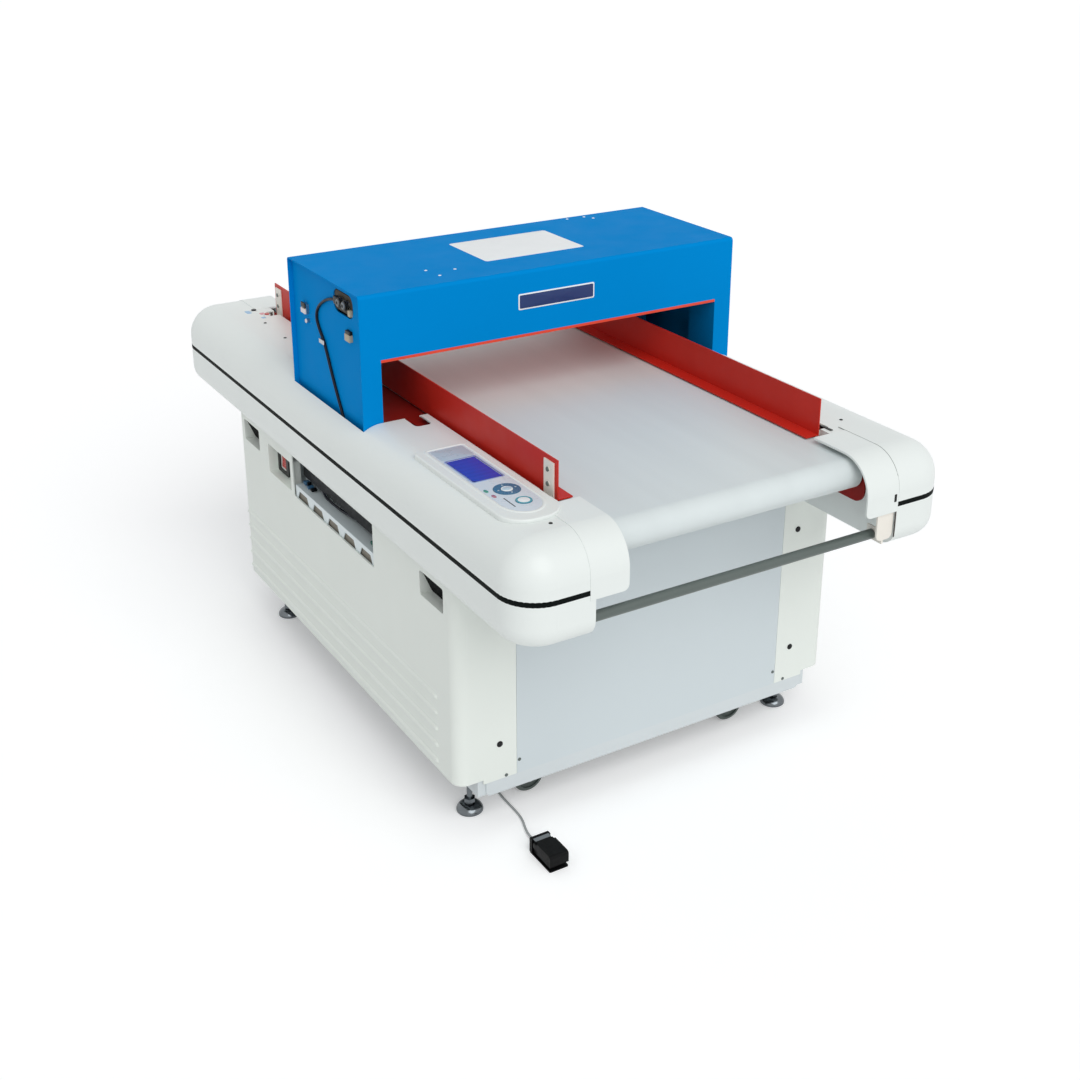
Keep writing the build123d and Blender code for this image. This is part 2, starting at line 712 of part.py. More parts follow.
with BuildPart() as arm_upper_right:
    add(upper_form.part)
    add(upper_hollow.part, mode=Mode.SUBTRACT)
    # A lip turned down along the belt side stands on the frame's ledge.
    with BuildSketch(Plane.XY.offset(ledge_top)):
        with Locations((arm_inner + arm_wall / 2, 0)):
            Rectangle(arm_wall, 2 * end_plate_y)
    extrude(amount=lip_depth - arm_wall)
    # The head's leg passes through.
    with BuildSketch(Plane.XY.offset(strip_high - 1)):
        with Locations(((arm_inner - 10 + head_half_width + leg_gap) / 2, 0)):
            Rectangle(head_half_width + leg_gap - arm_inner + 10, 2 * (head_half_depth + leg_gap))
    extrude(amount=arm_top, mode=Mode.SUBTRACT)
    # Scallops beside the head, and notches for the rail brackets
    for sy in (-1, 1):
        with BuildSketch(Plane.XY.offset(ledge_top - 1)):
            with Locations((sum(scallop_x) / 2, sy * (sum(scallop_y) / 2 - 6))):
                RectangleRounded(scallop_x[1] - scallop_x[0], scallop_y[1] - scallop_y[0] + 12, 10)
            with Locations((arm_inner + bracket_notch / 2 - 1, sy * bracket_y)):
                Rectangle(bracket_notch + 2, bracket_width + 4)
        extrude(amount=arm_top, mode=Mode.SUBTRACT)
save(arm_upper_right, "arm_upper_right")

rear_keys = ((-arm_inner - 45.0, arm_end - 169.0), (-arm_inner - 29.0, arm_end - 216.5))
rear_key_r = 6.0
key_gap = 0.4
with BuildPart() as arm_upper_left:
    mirror(arm_upper_right.part, about=Plane.YZ)
    # Two low bosses near the back end hold the rear keys.
    with BuildSketch(Plane.XY.offset(arm_top - 1)):
        with Locations(*rear_keys):
            Circle(rear_key_r + 2.5)
    extrude(amount=4)
    with BuildSketch(Plane.XY.offset(arm_top + 1.1)):
        with Locations(*rear_keys):
            Circle(rear_key_r + key_gap)
    extrude(amount=3, mode=Mode.SUBTRACT)
save(arm_upper_left, "arm_upper_left")


def lower_block(inner_x, gap):
    """The right arm's solid underside from an inner edge outwards, shrunk by a gap on its outer faces."""
    with BuildPart() as block:
        with BuildSketch(Plane.XY.offset(arm_bottom + gap)):
            with BuildLine():
                Polyline((inner_x + gap, -arm_end + gap), (arm_outer - gap, -arm_end + gap),
                         (arm_outer - gap, arm_end - gap), (inner_x + gap, arm_end - gap), close=True)
            make_face()
            fillet(vertices().group_by(Axis.X)[-1], arm_corner - gap)
        extrude(amount=strip_low - arm_bottom)
        lowest = block.faces().sort_by(Axis.Z)[0].edges()
        fillet([e for e in lowest if (e @ 0.5).X > inner_x + gap + 1], arm_under_round - gap)
    return block.part


section_gap = 0.1


def lower_shell(inner_x):
    """The right lower shell. Over the cabinet it keeps only its outer wall, which sits on the side cover."""
    with BuildPart() as shell:
        add(lower_block(inner_x, 0))
        add(lower_block(inner_x, arm_wall), mode=Mode.SUBTRACT)
        with BuildSketch(Plane.XY.offset(strip_low)):
            Rectangle(3 * arm_outer, 3 * arm_end)
        extrude(amount=arm_wall + 1, mode=Mode.SUBTRACT)
        with BuildSketch(Plane.XY.offset(arm_bottom - 1)):
            with Locations(((inner_x - 5 + cover_x - cover_wall) / 2, 0)):
                Rectangle(cover_x - cover_wall - inner_x + 5, 2 * (cover_y - cover_wall))
            with Locations((end_plate_x / 2, 0)):
                Rectangle(end_plate_x, 2 * cover_y)
        extrude(amount=strip_low - arm_bottom + 2, mode=Mode.SUBTRACT)
        # The end cover plate hangs over what reaches past the arm's inner end.
        with BuildSketch(Plane.XY.offset(end_plate_bottom)):
            with Locations((end_plate_x / 2, 0)):
                Rectangle(end_plate_x, 3 * arm_end)
        extrude(amount=strip_low - end_plate_bottom, mode=Mode.SUBTRACT)
        # The moulding comes in three sections that butt at the cabinet's corners.
        with BuildSketch(Plane.XY.offset(arm_bottom - 1)):
            with Locations((arm_outer / 2, cover_y - cover_wall), (arm_outer / 2, cover_wall - cover_y)):
                Rectangle(2 * arm_outer, section_gap)
        extrude(amount=strip_low - arm_bottom + 2, mode=Mode.SUBTRACT)
    return shell.part


with BuildPart() as arm_lower_right:
    add(lower_shell(end_plate_x))
save(arm_lower_right, "arm_lower_right")

# The left shell reaches further in and hides the tie bars' ends.
with BuildPart() as arm_lower_left:
    mirror(lower_shell(left_shell_x), about=Plane.YZ)
    with BuildSketch(Plane.YZ.offset(-end_plate_x)):
        with Locations((-tie_bar_y, tie_bar_z), (tie_bar_y, tie_bar_z)):
            Circle(tie_bar_r + touch)
    extrude(amount=2 * arm_wall + end_plate_x - left_shell_x, mode=Mode.SUBTRACT)
save(arm_lower_left, "arm_lower_left")

strip_width = 8.0
with BuildPart() as arm_strips:
    for inset, mode in ((strip_inset, Mode.ADD), (strip_inset + strip_width, Mode.SUBTRACT)):
        with BuildSketch(Plane.XY.offset(strip_low)):
            with BuildLine():
                Polyline((end_plate_x - (0 if mode == Mode.ADD else 1), -arm_end + inset),
                         (arm_outer - inset, -arm_end + inset), (arm_outer - inset, arm_end - inset),
                         (end_plate_x - (0 if mode == Mode.ADD else 1), arm_end - inset), close=True)
            make_face()
            fillet(vertices().group_by(Axis.X)[-1], arm_corner - inset)
        extrude(amount=strip_height, mode=mode)
    mirror(about=Plane.YZ)
save(arm_strips, "arm_strips")

# End cover plates wrap round each arm's end over the roller's bearing, a little proud of the arm.
with BuildPart() as end_cover_plates:
    for sx in (-1, 1):
        for sy in (-1, 1):
            bend = arm_end - arm_round
            outer_r = arm_round + end_plate_proud
            inner_r = arm_round - arm_wall
            half_turn = math.sqrt(0.5)
            centre_z = arm_top - arm_round
            with BuildSketch(Plane.YZ.offset(end_plate_inner if sx > 0 else -end_plate_x)):
                with BuildLine():
                    ThreePointArc((sy * bend, centre_z + outer_r),
                                  (sy * (bend + outer_r * half_turn), centre_z + outer_r * half_turn),
                                  (sy * (bend + outer_r), centre_z))
                    Polyline((sy * (bend + outer_r), centre_z), (sy * (bend + outer_r), end_plate_bottom),
                             (sy * (bend + inner_r), end_plate_bottom), (sy * (bend + inner_r), centre_z))
                    ThreePointArc((sy * (bend + inner_r), centre_z),
                                  (sy * (bend + inner_r * half_turn), centre_z + inner_r * half_turn),
                                  (sy * bend, centre_z + inner_r))
                    Polyline((sy * bend, centre_z + inner_r), (sy * end_plate_y, centre_z + inner_r),
                             (sy * end_plate_y, centre_z + outer_r), (sy * bend, centre_z + outer_r))
                make_face()
            extrude(amount=end_plate_x - end_plate_inner)
    # The lower corner towards the belt is round.
    corners = end_cover_plates.edges().filter_by(Axis.Y).group_by(Axis.Z)[0]
    fillet([e for e in corners if abs((e @ 0.5).X) < end_plate_inner + 1], 12)
save(end_cover_plates, "end_cover_plates")

# Tie bars join the arms' ends. On the right each hangs on a strap behind the end plate, with a
# round foot. On the left each ends on a tab inside the lower shell.
strap_x = (end_plate_x - 45.0, end_plate_x - 5.0)
strap_thick = 4.0
strap_top = end_plate_bottom + 40.0
strap_bottom = tie_bar_z - 4.0
strap_out = arm_end - arm_wall
cheek_x = strap_x[0] + 14.0
cheek_half = 14.0
tab_x = -end_plate_x + 4.0
tab_low = arm_bottom + arm_under_round + 2.0

with BuildPart() as tie_bar_brackets:
    for sy in (-1, 1):
        with BuildSketch(Plane.XZ.offset(-sy * strap_out + (strap_thick if sy > 0 else 0))):
            with BuildLine():
                Polyline((strap_x[0], strap_top), (strap_x[1], strap_top), (strap_x[1], strap_bottom),
                         (strap_x[0], strap_bottom), close=True)
            make_face()
            fillet(vertices().group_by(Axis.Y)[0], 12)
        extrude(amount=-strap_thick)
        with BuildSketch(Plane.YZ.offset(cheek_x)):
            with Locations((sy * (tie_bar_y - cheek_half + strap_out) / 2, tie_bar_z + 2)):
                Rectangle(strap_out - tie_bar_y + cheek_half, 2 * cheek_half)
        extrude(amount=strap_thick)
        with BuildSketch(Plane.YZ.offset(tab_x - strap_thick)):
            with Locations((sy * (tie_bar_y - 1), (tie_bar_z - cheek_half + tab_low + 14) / 2)):
                Rectangle(2 * cheek_half, tab_low + 14 - tie_bar_z + cheek_half)
            with Locations((sy * (tie_bar_y + strap_out) / 2, tab_low + 7)):
                Rectangle(strap_out - tie_bar_y, 14)
        extrude(amount=strap_thick)
save(tie_bar_brackets, "tie_bar_brackets")

with BuildPart() as tie_bars:
    with BuildSketch(Plane.YZ.offset(tab_x)):
        with Locations((-tie_bar_y, tie_bar_z), (tie_bar_y, tie_bar_z)):
            Circle(tie_bar_r)
            Circle(tie_bar_r - 2, mode=Mode.SUBTRACT)
    extrude(amount=cheek_x - tab_x)
save(tie_bars, "tie_bars")


# Sensing head: an arch of folded sheet. Its beam holds the upper sensor, its legs stand on
# the chassis, and its ends are closed by sunk plates.
return_depth = 0.5148 * head_half_depth

with BuildPart() as head_shell:
    with BuildSketch(Plane.XZ.offset(-head_half_depth)):
        with BuildLine():
            Polyline((-head_half_width, head_foot), (-head_half_width, head_top), (head_half_width, head_top),
                     (head_half_width, head_foot), (tunnel_half, head_foot), (tunnel_half, tunnel_top),
                     (-tunnel_half, tunnel_top), (-tunnel_half, head_foot), close=True)
        make_face()
    extrude(amount=2 * head_half_depth)
    fillet(head_shell.faces().sort_by(Axis.Z)[-1].edges().filter_by(Axis.X), head_bend)
    # The beam's hollow, open at both ends, and the legs' hollows, open at the outside
    with BuildSketch(Plane.XZ.offset(-head_in)):
        with BuildLine():
            low = tunnel_top + head_sheet
            Polyline((-head_half_width - 1, head_foot - 1), (-head_half_width - 1, head_top - head_sheet),
                     (head_half_width + 1, head_top - head_sheet), (head_half_width + 1, head_foot - 1),
                     (tunnel_half + head_sheet, head_foot - 1), (tunnel_half + head_sheet, low),
                     (-tunnel_half - head_sheet, low), (-tunnel_half - head_sheet, head_foot - 1), close=True)
        make_face()
    extrude(amount=2 * head_in, mode=Mode.SUBTRACT)
    # Each leg's inner wall is two returns with a gap between them.
    with BuildSketch(Plane.YZ.offset(-head_half_width)):
        with Locations((0, (head_foot + tunnel_top) / 2 - 2)):
            Rectangle(2 * (head_half_depth - return_depth), tunnel_top - head_foot)
    extrude(amount=2 * head_half_width, mode=Mode.SUBTRACT)
save(head_shell, "head_shell")

hole_y = (-132.0, -38.0)
hole_z = (head_top - 62.0, head_top - 14.0)
with BuildPart() as head_end_plates:
    for sx in (-1, 1):
        with BuildSketch(Plane.YZ.offset(end_plate_out - head_sheet if sx > 0 else -end_plate_out)):
            with Locations((0, (head_foot + head_top - head_sheet) / 2)):
                Rectangle(2 * head_in, head_top - head_sheet - head_foot)
            if sx < 0:
                with Locations((sum(hole_y) / 2, sum(hole_z) / 2)):
                    RectangleRounded(hole_y[1] - hole_y[0], hole_z[1] - hole_z[0], 20, mode=Mode.SUBTRACT)
        extrude(amount=head_sheet)
save(head_end_plates, "head_end_plates")

with BuildPart() as sensor_liner:
    with BuildSketch(Plane.XY.offset(tunnel_top - liner_thick)):
        Rectangle(2 * (tunnel_half - touch), 2 * head_half_depth)
    extrude(amount=liner_thick)
save(sensor_liner, "sensor_liner")

upper_sensor_height = beam_height - 25.0
with BuildPart() as upper_sensor:
    with BuildSketch(Plane.XY.offset(tunnel_top + head_sheet)):
        RectangleRounded(2 * (tunnel_half - 12), 2 * (head_in - 14), 8)
    extrude(amount=upper_sensor_height)
    fillet(upper_sensor.faces().sort_by(Axis.Z)[-1].edges(), 6)
save(upper_sensor, "upper_sensor")

# Head connectors: two plugs, two standoffs and a cable clip on the left end plate
plug_one = (-88.0, head_top - 36.0)
plug_two = (108.0, head_top - 93.0)
standoffs = ((98.0, head_top - 121.0), (-113.0, head_top - 97.0))
clip_spot = (17.0, head_top - 135.0)
cable_r = 3.0
cable_x = -end_plate_out - cable_r - seat

with BuildPart() as head_connectors:
    # The first plug stands in the plate's opening, on a bridge behind it.
    with BuildSketch(Plane.YZ.offset(-end_plate_out + head_sheet)):
        with Locations((sum(hole_y) / 2, plug_one[1])):
            Rectangle(hole_y[1] - hole_y[0] + 20, 24)
    extrude(amount=3)
    with BuildSketch(Plane.YZ.offset(-end_plate_out + head_sheet)):
        with Locations((plug_one[0] - 18, plug_one[1]), (plug_one[0] + 8, plug_one[1])):
            Circle(9)
    extrude(amount=-head_sheet - 5)
    with BuildSketch(Plane.YZ.offset(-end_plate_out)):
        with Locations(plug_two):
            Circle(9)
        with Locations((plug_two[0], plug_two[1] - 3)):
            RectangleRounded(26, 22, 3)
        for spot in standoffs:
            with Locations(spot):
                Circle(4.5)
    extrude(amount=-6.5)
    # The clip is a small hook over the cable.
    with BuildSketch(Plane.YZ.offset(-end_plate_out)):
        with Locations((clip_spot[0] + 12, clip_spot[1] - 9.5)):
            Rectangle(4, 9)
    extrude(amount=-2 * cable_r - 2 * seat - 1.5)
    with BuildSketch(Plane.YZ.offset(-end_plate_out - 2 * cable_r - 2 * seat)):
        with Locations((clip_spot[0] + 4.5, clip_spot[1] - 9.5)):
            Rectangle(19, 9)
    extrude(amount=-1.5)
save(head_connectors, "head_connectors")

# Head cable: from the first plug round to the second, held by a clip, and down into the arm
head_route = [(-70.6, 974.0), (-46.0, 972.0), (-20.0, 966.0), (14.0, 951.0), (42.0, 931.0), (50.0, 908.0),
              (38.0, 888.0), (17.0, 868.0), (2.0, 842.0), (-17.0, 805.0), (-38.0, 768.0), (-62.0, 731.0),
              (-80.0, 697.0)]


def route_radii(points):
    """Largest radius that each corner of a route allows: 0.45 of its shorter run, over tan(turn / 2)."""
    radii = []
    for before, corner, after in zip(points, points[1:], points[2:]):
        first = corner - before
        second = after - corner
        turn = math.radians(first.get_angle(second))
        radii.append(0.45 * min(first.length, second.length) / math.tan(turn / 2))
    return radii


head_points = [Vector(cable_x, y, z) for y, z in head_route]
head_radii = route_radii(head_points)
with BuildPart() as head_cable:
    with BuildLine() as head_line:
        FilletPolyline(*head_points, radius=head_radii)
    with BuildSketch(Plane(origin=head_points[0], z_dir=head_line.line % 0)):
        Circle(cable_r)
    sweep()
save(head_cable, "head_cable")
head_length = sum(edge.length for edge in head_line.edges())
print("head cable", round(head_length), "mm, radii", [round(r) for r in head_radii],
      "volume ratio", round(head_cable.part.volume / (math.pi * cable_r ** 2 * head_length), 4))


# Control housing on the left arm, with its window and keys
house_x = (-arm_outer + 49.5, -arm_inner - 6.0)
house_y = (-arm_end + 110.0, -arm_end + 479.0)
house_mid = (house_x[0] + house_x[1]) / 2
house_round = 50.0
house_skirt = 30.0
lcd_x = (house_mid - 27.5, house_mid + 31.5)
lcd_y = (house_y[0] + 190.0, house_y[0] + 297.0)
lcd_depth = 1.4
dial_at = (house_mid + 8.0, house_y[0] + 132.5)
dial_r = 25.0
dial_hole_r = 11.0
start_at = (house_mid + 9.5, house_y[0] + 75.5)
start_r = 15.0
key_low = housing_top - 5.0
key_proud = 1.2
pocket_floor = key_low - button_travel - touch

with BuildPart() as arm_bulk:
    arm_form(strip_high, arm_top + 0.2, 0.2)
    fillet(rim(arm_bulk.faces().sort_by(Axis.Z)[-1], end_plate_x), arm_round + 0.2)

with BuildPart() as control_housing:
    with BuildSketch(Plane.XY.offset(arm_top - house_skirt)):
        with BuildLine():
            Polyline((house_x[0], house_y[0]), (house_x[1], house_y[0]), (house_x[1], house_y[1]),
                     (house_x[0], house_y[1]), close=True)
        make_face()
        fillet(vertices().group_by(Axis.Y)[0], house_round)
        fillet(vertices().group_by(Axis.Y)[-1], 8)
    extrude(amount=housing_top - arm_top + house_skirt)
    fillet(control_housing.faces().sort_by(Axis.Z)[-1].edges(), 3)
    mirror(arm_bulk.part, about=Plane.YZ, mode=Mode.SUBTRACT)
    with BuildSketch(Plane.XY.offset(arm_top + touch)):
        with Locations((-arm_inner, sum(house_y) / 2)):
            Rectangle(2 * (arm_width - arm_round - house_skirt / 2), house_y[1] - house_y[0] + 2)
    extrude(amount=-2 * house_skirt, mode=Mode.SUBTRACT)
    # Its front end reaches over the end cover plate.
    with BuildSketch(Plane.XY.offset(arm_top)):
        with Locations((-end_plate_x / 2, -1.5 * end_plate_y)):
            Rectangle(end_plate_x, end_plate_y)
    extrude(amount=end_plate_proud + touch, mode=Mode.SUBTRACT)
    with BuildSketch(Plane.XY.offset(housing_top - lcd_depth)):
        with Locations((sum(lcd_x) / 2, sum(lcd_y) / 2)):
            Rectangle(lcd_x[1] - lcd_x[0], lcd_y[1] - lcd_y[0])
    extrude(amount=lcd_depth, mode=Mode.SUBTRACT)
    with BuildSketch(Plane.XY.offset(pocket_floor)):
        with Locations(dial_at):
            Circle(dial_r + key_gap)
        with Locations(start_at):
            Circle(start_r + key_gap)
    extrude(amount=housing_top - pocket_floor, mode=Mode.SUBTRACT)
save(control_housing, "control_housing")

with BuildPart() as lcd_window:
    with BuildSketch(Plane.XY.offset(housing_top - lcd_depth)):
        with Locations((sum(lcd_x) / 2, sum(lcd_y) / 2)):
            Rectangle(lcd_x[1] - lcd_x[0] - 0.4, lcd_y[1] - lcd_y[0] - 0.4)
    extrude(amount=lcd_depth - 0.2)
save(lcd_window, "lcd_window")

with BuildPart() as nav_dial:
    with BuildSketch(Plane.XY.offset(key_low)):
        with Locations(dial_at):
            Circle(dial_r)
            Circle(dial_hole_r + key_gap, mode=Mode.SUBTRACT)
    extrude(amount=housing_top + key_proud - key_low)
    fillet(nav_dial.faces().sort_by(Axis.Z)[-1].edges(), 0.8)
save(nav_dial, "nav_dial")

with BuildPart() as centre_button:
    with BuildSketch(Plane.XY.offset(key_low)):
        with Locations(dial_at):
            Circle(dial_hole_r)
    extrude(amount=housing_top + key_proud + 0.4 - key_low)
    fillet(centre_button.faces().sort_by(Axis.Z)[-1].edges(), 0.8)
save(centre_button, "centre_button")

with BuildPart() as start_button:
    with BuildSketch(Plane.XY.offset(key_low)):
        with Locations(start_at):
            Circle(start_r)
    extrude(amount=housing_top + key_proud - key_low)
    fillet(start_button.faces().sort_by(Axis.Z)[-1].edges(), 0.8)
save(start_button, "start_button")

for name, spot in (("rear_key_dark", rear_keys[0]), ("rear_key_red", rear_keys[1])):
    with BuildPart() as rear_key:
        with BuildSketch(Plane.XY.offset(arm_top + 2)):
            with Locations(spot):
                Circle(rear_key_r)
        extrude(amount=3.2)
    save(rear_key, name)

# Electronics: a tray behind the slot, with a notched lip, and the control box under it
tray_z = slot_low + 26.0
tray_sheet = 2.0
tray_x = (-cover_x + cover_wall + 1, -rail_gap / 2 + 50.0)
tray_y = (-slot_front + 4, slot_back - 4)
lip_drop = 32.0
arch_count = 5
arch_height = 20.0

with BuildPart() as electronics_tray:
    with BuildSketch(Plane.XY.offset(tray_z)):
        with Locations((sum(tray_x) / 2, sum(tray_y) / 2)):
            Rectangle(tray_x[1] - tray_x[0], tray_y[1] - tray_y[0])
    extrude(amount=tray_sheet)
    with BuildSketch(Plane.YZ.offset(tray_x[0])):
        with Locations((sum(tray_y) / 2, tray_z - lip_drop / 2 + 1)):
            Rectangle(tray_y[1] - tray_y[0], lip_drop + 2)
        pitch = (tray_y[1] - tray_y[0]) / arch_count
        arch_z = tray_z - lip_drop / 2 - 2
        with Locations(*[(tray_y[0] + (n + 0.5) * pitch, arch_z) for n in range(arch_count)]):
            Trapezoid(0.78 * pitch, arch_height, 62, mode=Mode.SUBTRACT)
    extrude(amount=tray_sheet)
    with BuildSketch(Plane.YZ.offset(tray_x[1] - tray_sheet)):
        with Locations((sum(tray_y) / 2, tray_z + 30)):
            Rectangle(tray_y[1] - tray_y[0], 60)
    extrude(amount=tray_sheet)
    # Two hangers carry the tray on the chassis's upper side rail.
    for y in (tray_y[0], tray_y[1] - tray_sheet):
        with BuildSketch(Plane.XZ.offset(-y)):
            with Locations((-top_rail_x + 20, (tray_z + top_rail_z) / 2)):
                Rectangle(80, top_rail_z - tray_z)
        extrude(amount=-tray_sheet)
save(electronics_tray, "electronics_tray")

box_x = (-60.0, rail_gap / 2 - 60.0)
box_y = (-220.0, 220.0)
box_z = (base_z + tube, base_z + tube + 210.0)
box_rail = 30.0
with BuildPart() as control_box:
    with BuildSketch(Plane.XY.offset(box_z[0])):
        with Locations((sum(box_x) / 2, sum(box_y) / 2)):
            RectangleRounded(box_x[1] - box_x[0], box_y[1] - box_y[0], 6)
    extrude(amount=box_z[1] - box_z[0])
    with BuildSketch(Plane.XY.offset(box_z[0] + 2)):
        with Locations((sum(box_x) / 2, sum(box_y) / 2)):
            RectangleRounded(box_x[1] - box_x[0] - 4, box_y[1] - box_y[0] - 4, 4)
    extrude(amount=box_z[1] - box_z[0] - 4, mode=Mode.SUBTRACT)
    # Its mounting rails reach the chassis's lower cross channels.
    with BuildSketch(Plane.XY.offset(base_z + tube)):
        for x in box_x:
            with Locations((x, 0)):
                Rectangle(box_rail, 2 * (caster_pivot_y + 20))
    extrude(amount=4)
save(control_box, "control_box")

# Foot pedal: a base, a sprung treadle on a pin, a gland under the chassis and the lead
pedal_x = -337.0
pedal_width = 42.0
pedal_back = -657.0
pedal_front = -733.0
pedal_plate = 2.5
pedal_floor = 17.0
press_room = 3.0
pedal_top = 35.0
cap_low = 11.5
cap_sheet = 5.0
ear_back = -666.0
pin_y = -676.0
pin_z = 24.0
pin_r = 2.0
ear = 4.0
housing_front = -684.0

with BuildPart() as pedal_base:
    with BuildSketch(Plane.XY):
        with Locations((pedal_x, (pedal_back + pedal_front) / 2)):
            RectangleRounded(pedal_width, pedal_back - pedal_front, 3)
    extrude(amount=pedal_plate)
    inner_width = pedal_width - 2 * (ear + seat)
    with BuildSketch(Plane.XY.offset(pedal_plate)):
        # The treadle's front wall swings inwards as it goes down.
        with Locations((pedal_x, (pedal_back + pedal_front + ear + press_room) / 2)):
            Rectangle(inner_width, pedal_back - pedal_front - ear - press_room)
    extrude(amount=pedal_floor - pedal_plate)
    # The rear block stands behind the treadle, with a waist between its ears, and holds the pin.
    with BuildSketch(Plane.XY.offset(pedal_floor)):
        with Locations((pedal_x, (pedal_back + housing_front) / 2)):
            Rectangle(inner_width, pedal_back - housing_front)
    extrude(amount=pedal_top - pedal_floor - 2)
    with BuildSketch(Plane.XY.offset(pedal_plate)):
        with Locations((pedal_x, (pedal_back + ear_back) / 2)):
            Rectangle(pedal_width, pedal_back - ear_back)
    extrude(amount=pedal_top - pedal_plate - 2)
    with BuildSketch(Plane.YZ.offset(pedal_x - pedal_width / 2)):
        with Locations((pin_y, pin_z)):
            Circle(pin_r)
    extrude(amount=pedal_width)
save(pedal_base, "pedal_base")

with BuildPart() as pedal_treadle:
    # A top plate, a front wall and two side walls that end in ears round the pin
    with BuildSketch(Plane.XY.offset(cap_low)):
        with Locations((pedal_x, (housing_front - seat + pedal_front) / 2)):
            Rectangle(pedal_width, housing_front - seat - pedal_front)
    extrude(amount=pedal_top - cap_low)
    fillet(pedal_treadle.faces().sort_by(Axis.Z)[-1].edges().sort_by(Axis.Y)[0], 6)
    with BuildSketch(Plane.XY.offset(cap_low)):
        with Locations((pedal_x, (housing_front + 1 + pedal_front + ear) / 2)):
            Rectangle(pedal_width - 2 * ear, housing_front + 1 - pedal_front - ear)
    extrude(amount=pedal_top - cap_low - cap_sheet, mode=Mode.SUBTRACT)
    for sx in (-1, 1):
        side = pedal_x + sx * (pedal_width - ear) / 2
        with BuildSketch(Plane.YZ.offset(side - ear / 2)):
            with Locations((pin_y, pin_z)):
                Circle(6.4)
            with Locations((housing_front - 4, pin_z)):
                Rectangle(8, 12)
            make_hull()
        extrude(amount=ear)
        with BuildSketch(Plane.YZ.offset(side - ear / 2)):
            with Locations((pin_y, pin_z)):
                Circle(pin_r + bore_gap)
        extrude(amount=ear, mode=Mode.SUBTRACT)
save(pedal_treadle, "pedal_treadle")

lead_r = 2.5
gland_at = (-262.0, -250.0)
gland_z = 96.0
gland_height = 14.0
gland_r = 9.0
gland_plate = 30.0
foot_route = [(-262.0, -250.0, 96.0), (-262.0, -250.0, 68.0), (-263.0, -256.0, 38.0), (-266.0, -278.0, 13.0),
              (-271.0, -312.0, 2.7), (-281.0, -352.0, 2.6), (-297.0, -392.0, 2.6), (-311.0, -430.0, 2.6),
              (-317.0, -470.0, 2.6), (-317.5, -505.0, 2.6), (-317.2, -538.0, 2.6), (-320.0, -566.0, 2.6),
              (-330.0, -594.0, 2.6), (-336.0, -618.0, 4.5), (-337.0, -640.0, 9.5), (-337.0, -656.6, 10.5)]
foot_points = [Vector(*p) for p in foot_route]
foot_radii = route_radii(foot_points)

with BuildPart() as foot_cable:
    with BuildLine() as foot_line:
        FilletPolyline(*foot_points, radius=foot_radii)
    with BuildSketch(Plane(origin=foot_points[0], z_dir=foot_line.line % 0)):
        Circle(lead_r)
    sweep()
save(foot_cable, "foot_cable")
foot_length = sum(edge.length for edge in foot_line.edges())
print("foot cable", round(foot_length), "mm, radii", [round(r) for r in foot_radii],
      "volume ratio", round(foot_cable.part.volume / (math.pi * lead_r ** 2 * foot_length), 4))

with BuildPart() as cable_gland:
    with BuildSketch(Plane.XY.offset(gland_z)):
        with Locations(gland_at):
            RegularPolygon(gland_r, 6)
    extrude(amount=gland_height)
    # A small bracket carries the gland beside the base cross channel.
    bracket_start = -caster_pivot_y + cross_width / 2
    bracket_end = gland_at[1] + 0.4 * gland_plate
    with BuildSketch(Plane.XY.offset(gland_z + gland_height)):
        with Locations((gland_at[0], (bracket_start + bracket_end) / 2)):
            Rectangle(gland_plate, bracket_end - bracket_start)
    extrude(amount=cover_wall)
save(cable_gland, "cable_gland")
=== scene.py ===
"""Finishes, trim and studio for the conveyor metal detector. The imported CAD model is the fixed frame."""
import json
import math

import bmesh
import bpy
import numpy as np
from mathutils import Matrix


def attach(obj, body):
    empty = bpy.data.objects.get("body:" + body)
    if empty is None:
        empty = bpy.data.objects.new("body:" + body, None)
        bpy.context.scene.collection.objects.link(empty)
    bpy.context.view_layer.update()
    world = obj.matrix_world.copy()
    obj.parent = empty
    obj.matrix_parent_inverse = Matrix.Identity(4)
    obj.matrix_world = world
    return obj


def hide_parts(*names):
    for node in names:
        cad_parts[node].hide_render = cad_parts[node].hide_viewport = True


bl_info = {
    "name": "Conveyor metal detector",
    "version": (1, 0, 0),
    "blender": (4, 5, 0),
    "location": "View3D > Sidebar > Detector",
    "description": "Dresses the packed conveyor metal detector and sets its studio",
    "category": "Object",
}

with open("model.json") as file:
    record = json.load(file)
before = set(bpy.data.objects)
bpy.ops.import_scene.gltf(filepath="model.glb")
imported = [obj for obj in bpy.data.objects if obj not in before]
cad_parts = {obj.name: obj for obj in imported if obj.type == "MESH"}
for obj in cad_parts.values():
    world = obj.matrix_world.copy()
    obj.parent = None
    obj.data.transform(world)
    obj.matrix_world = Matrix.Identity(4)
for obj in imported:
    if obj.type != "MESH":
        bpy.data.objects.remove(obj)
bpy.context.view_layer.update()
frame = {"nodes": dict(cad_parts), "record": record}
NODES = frame["nodes"]
MACHINE = "machine"
MM = 0.001


def linear(code, alpha=1.0):
    """An sRGB hex colour as linear red, green, blue and alpha."""
    parts = [int(code[i:i + 2], 16) / 255 for i in (1, 3, 5)]
    return [p / 12.92 if p <= 0.04045 else ((p + 0.055) / 1.055) ** 2.4 for p in parts] + [alpha]


# Nodes and materials


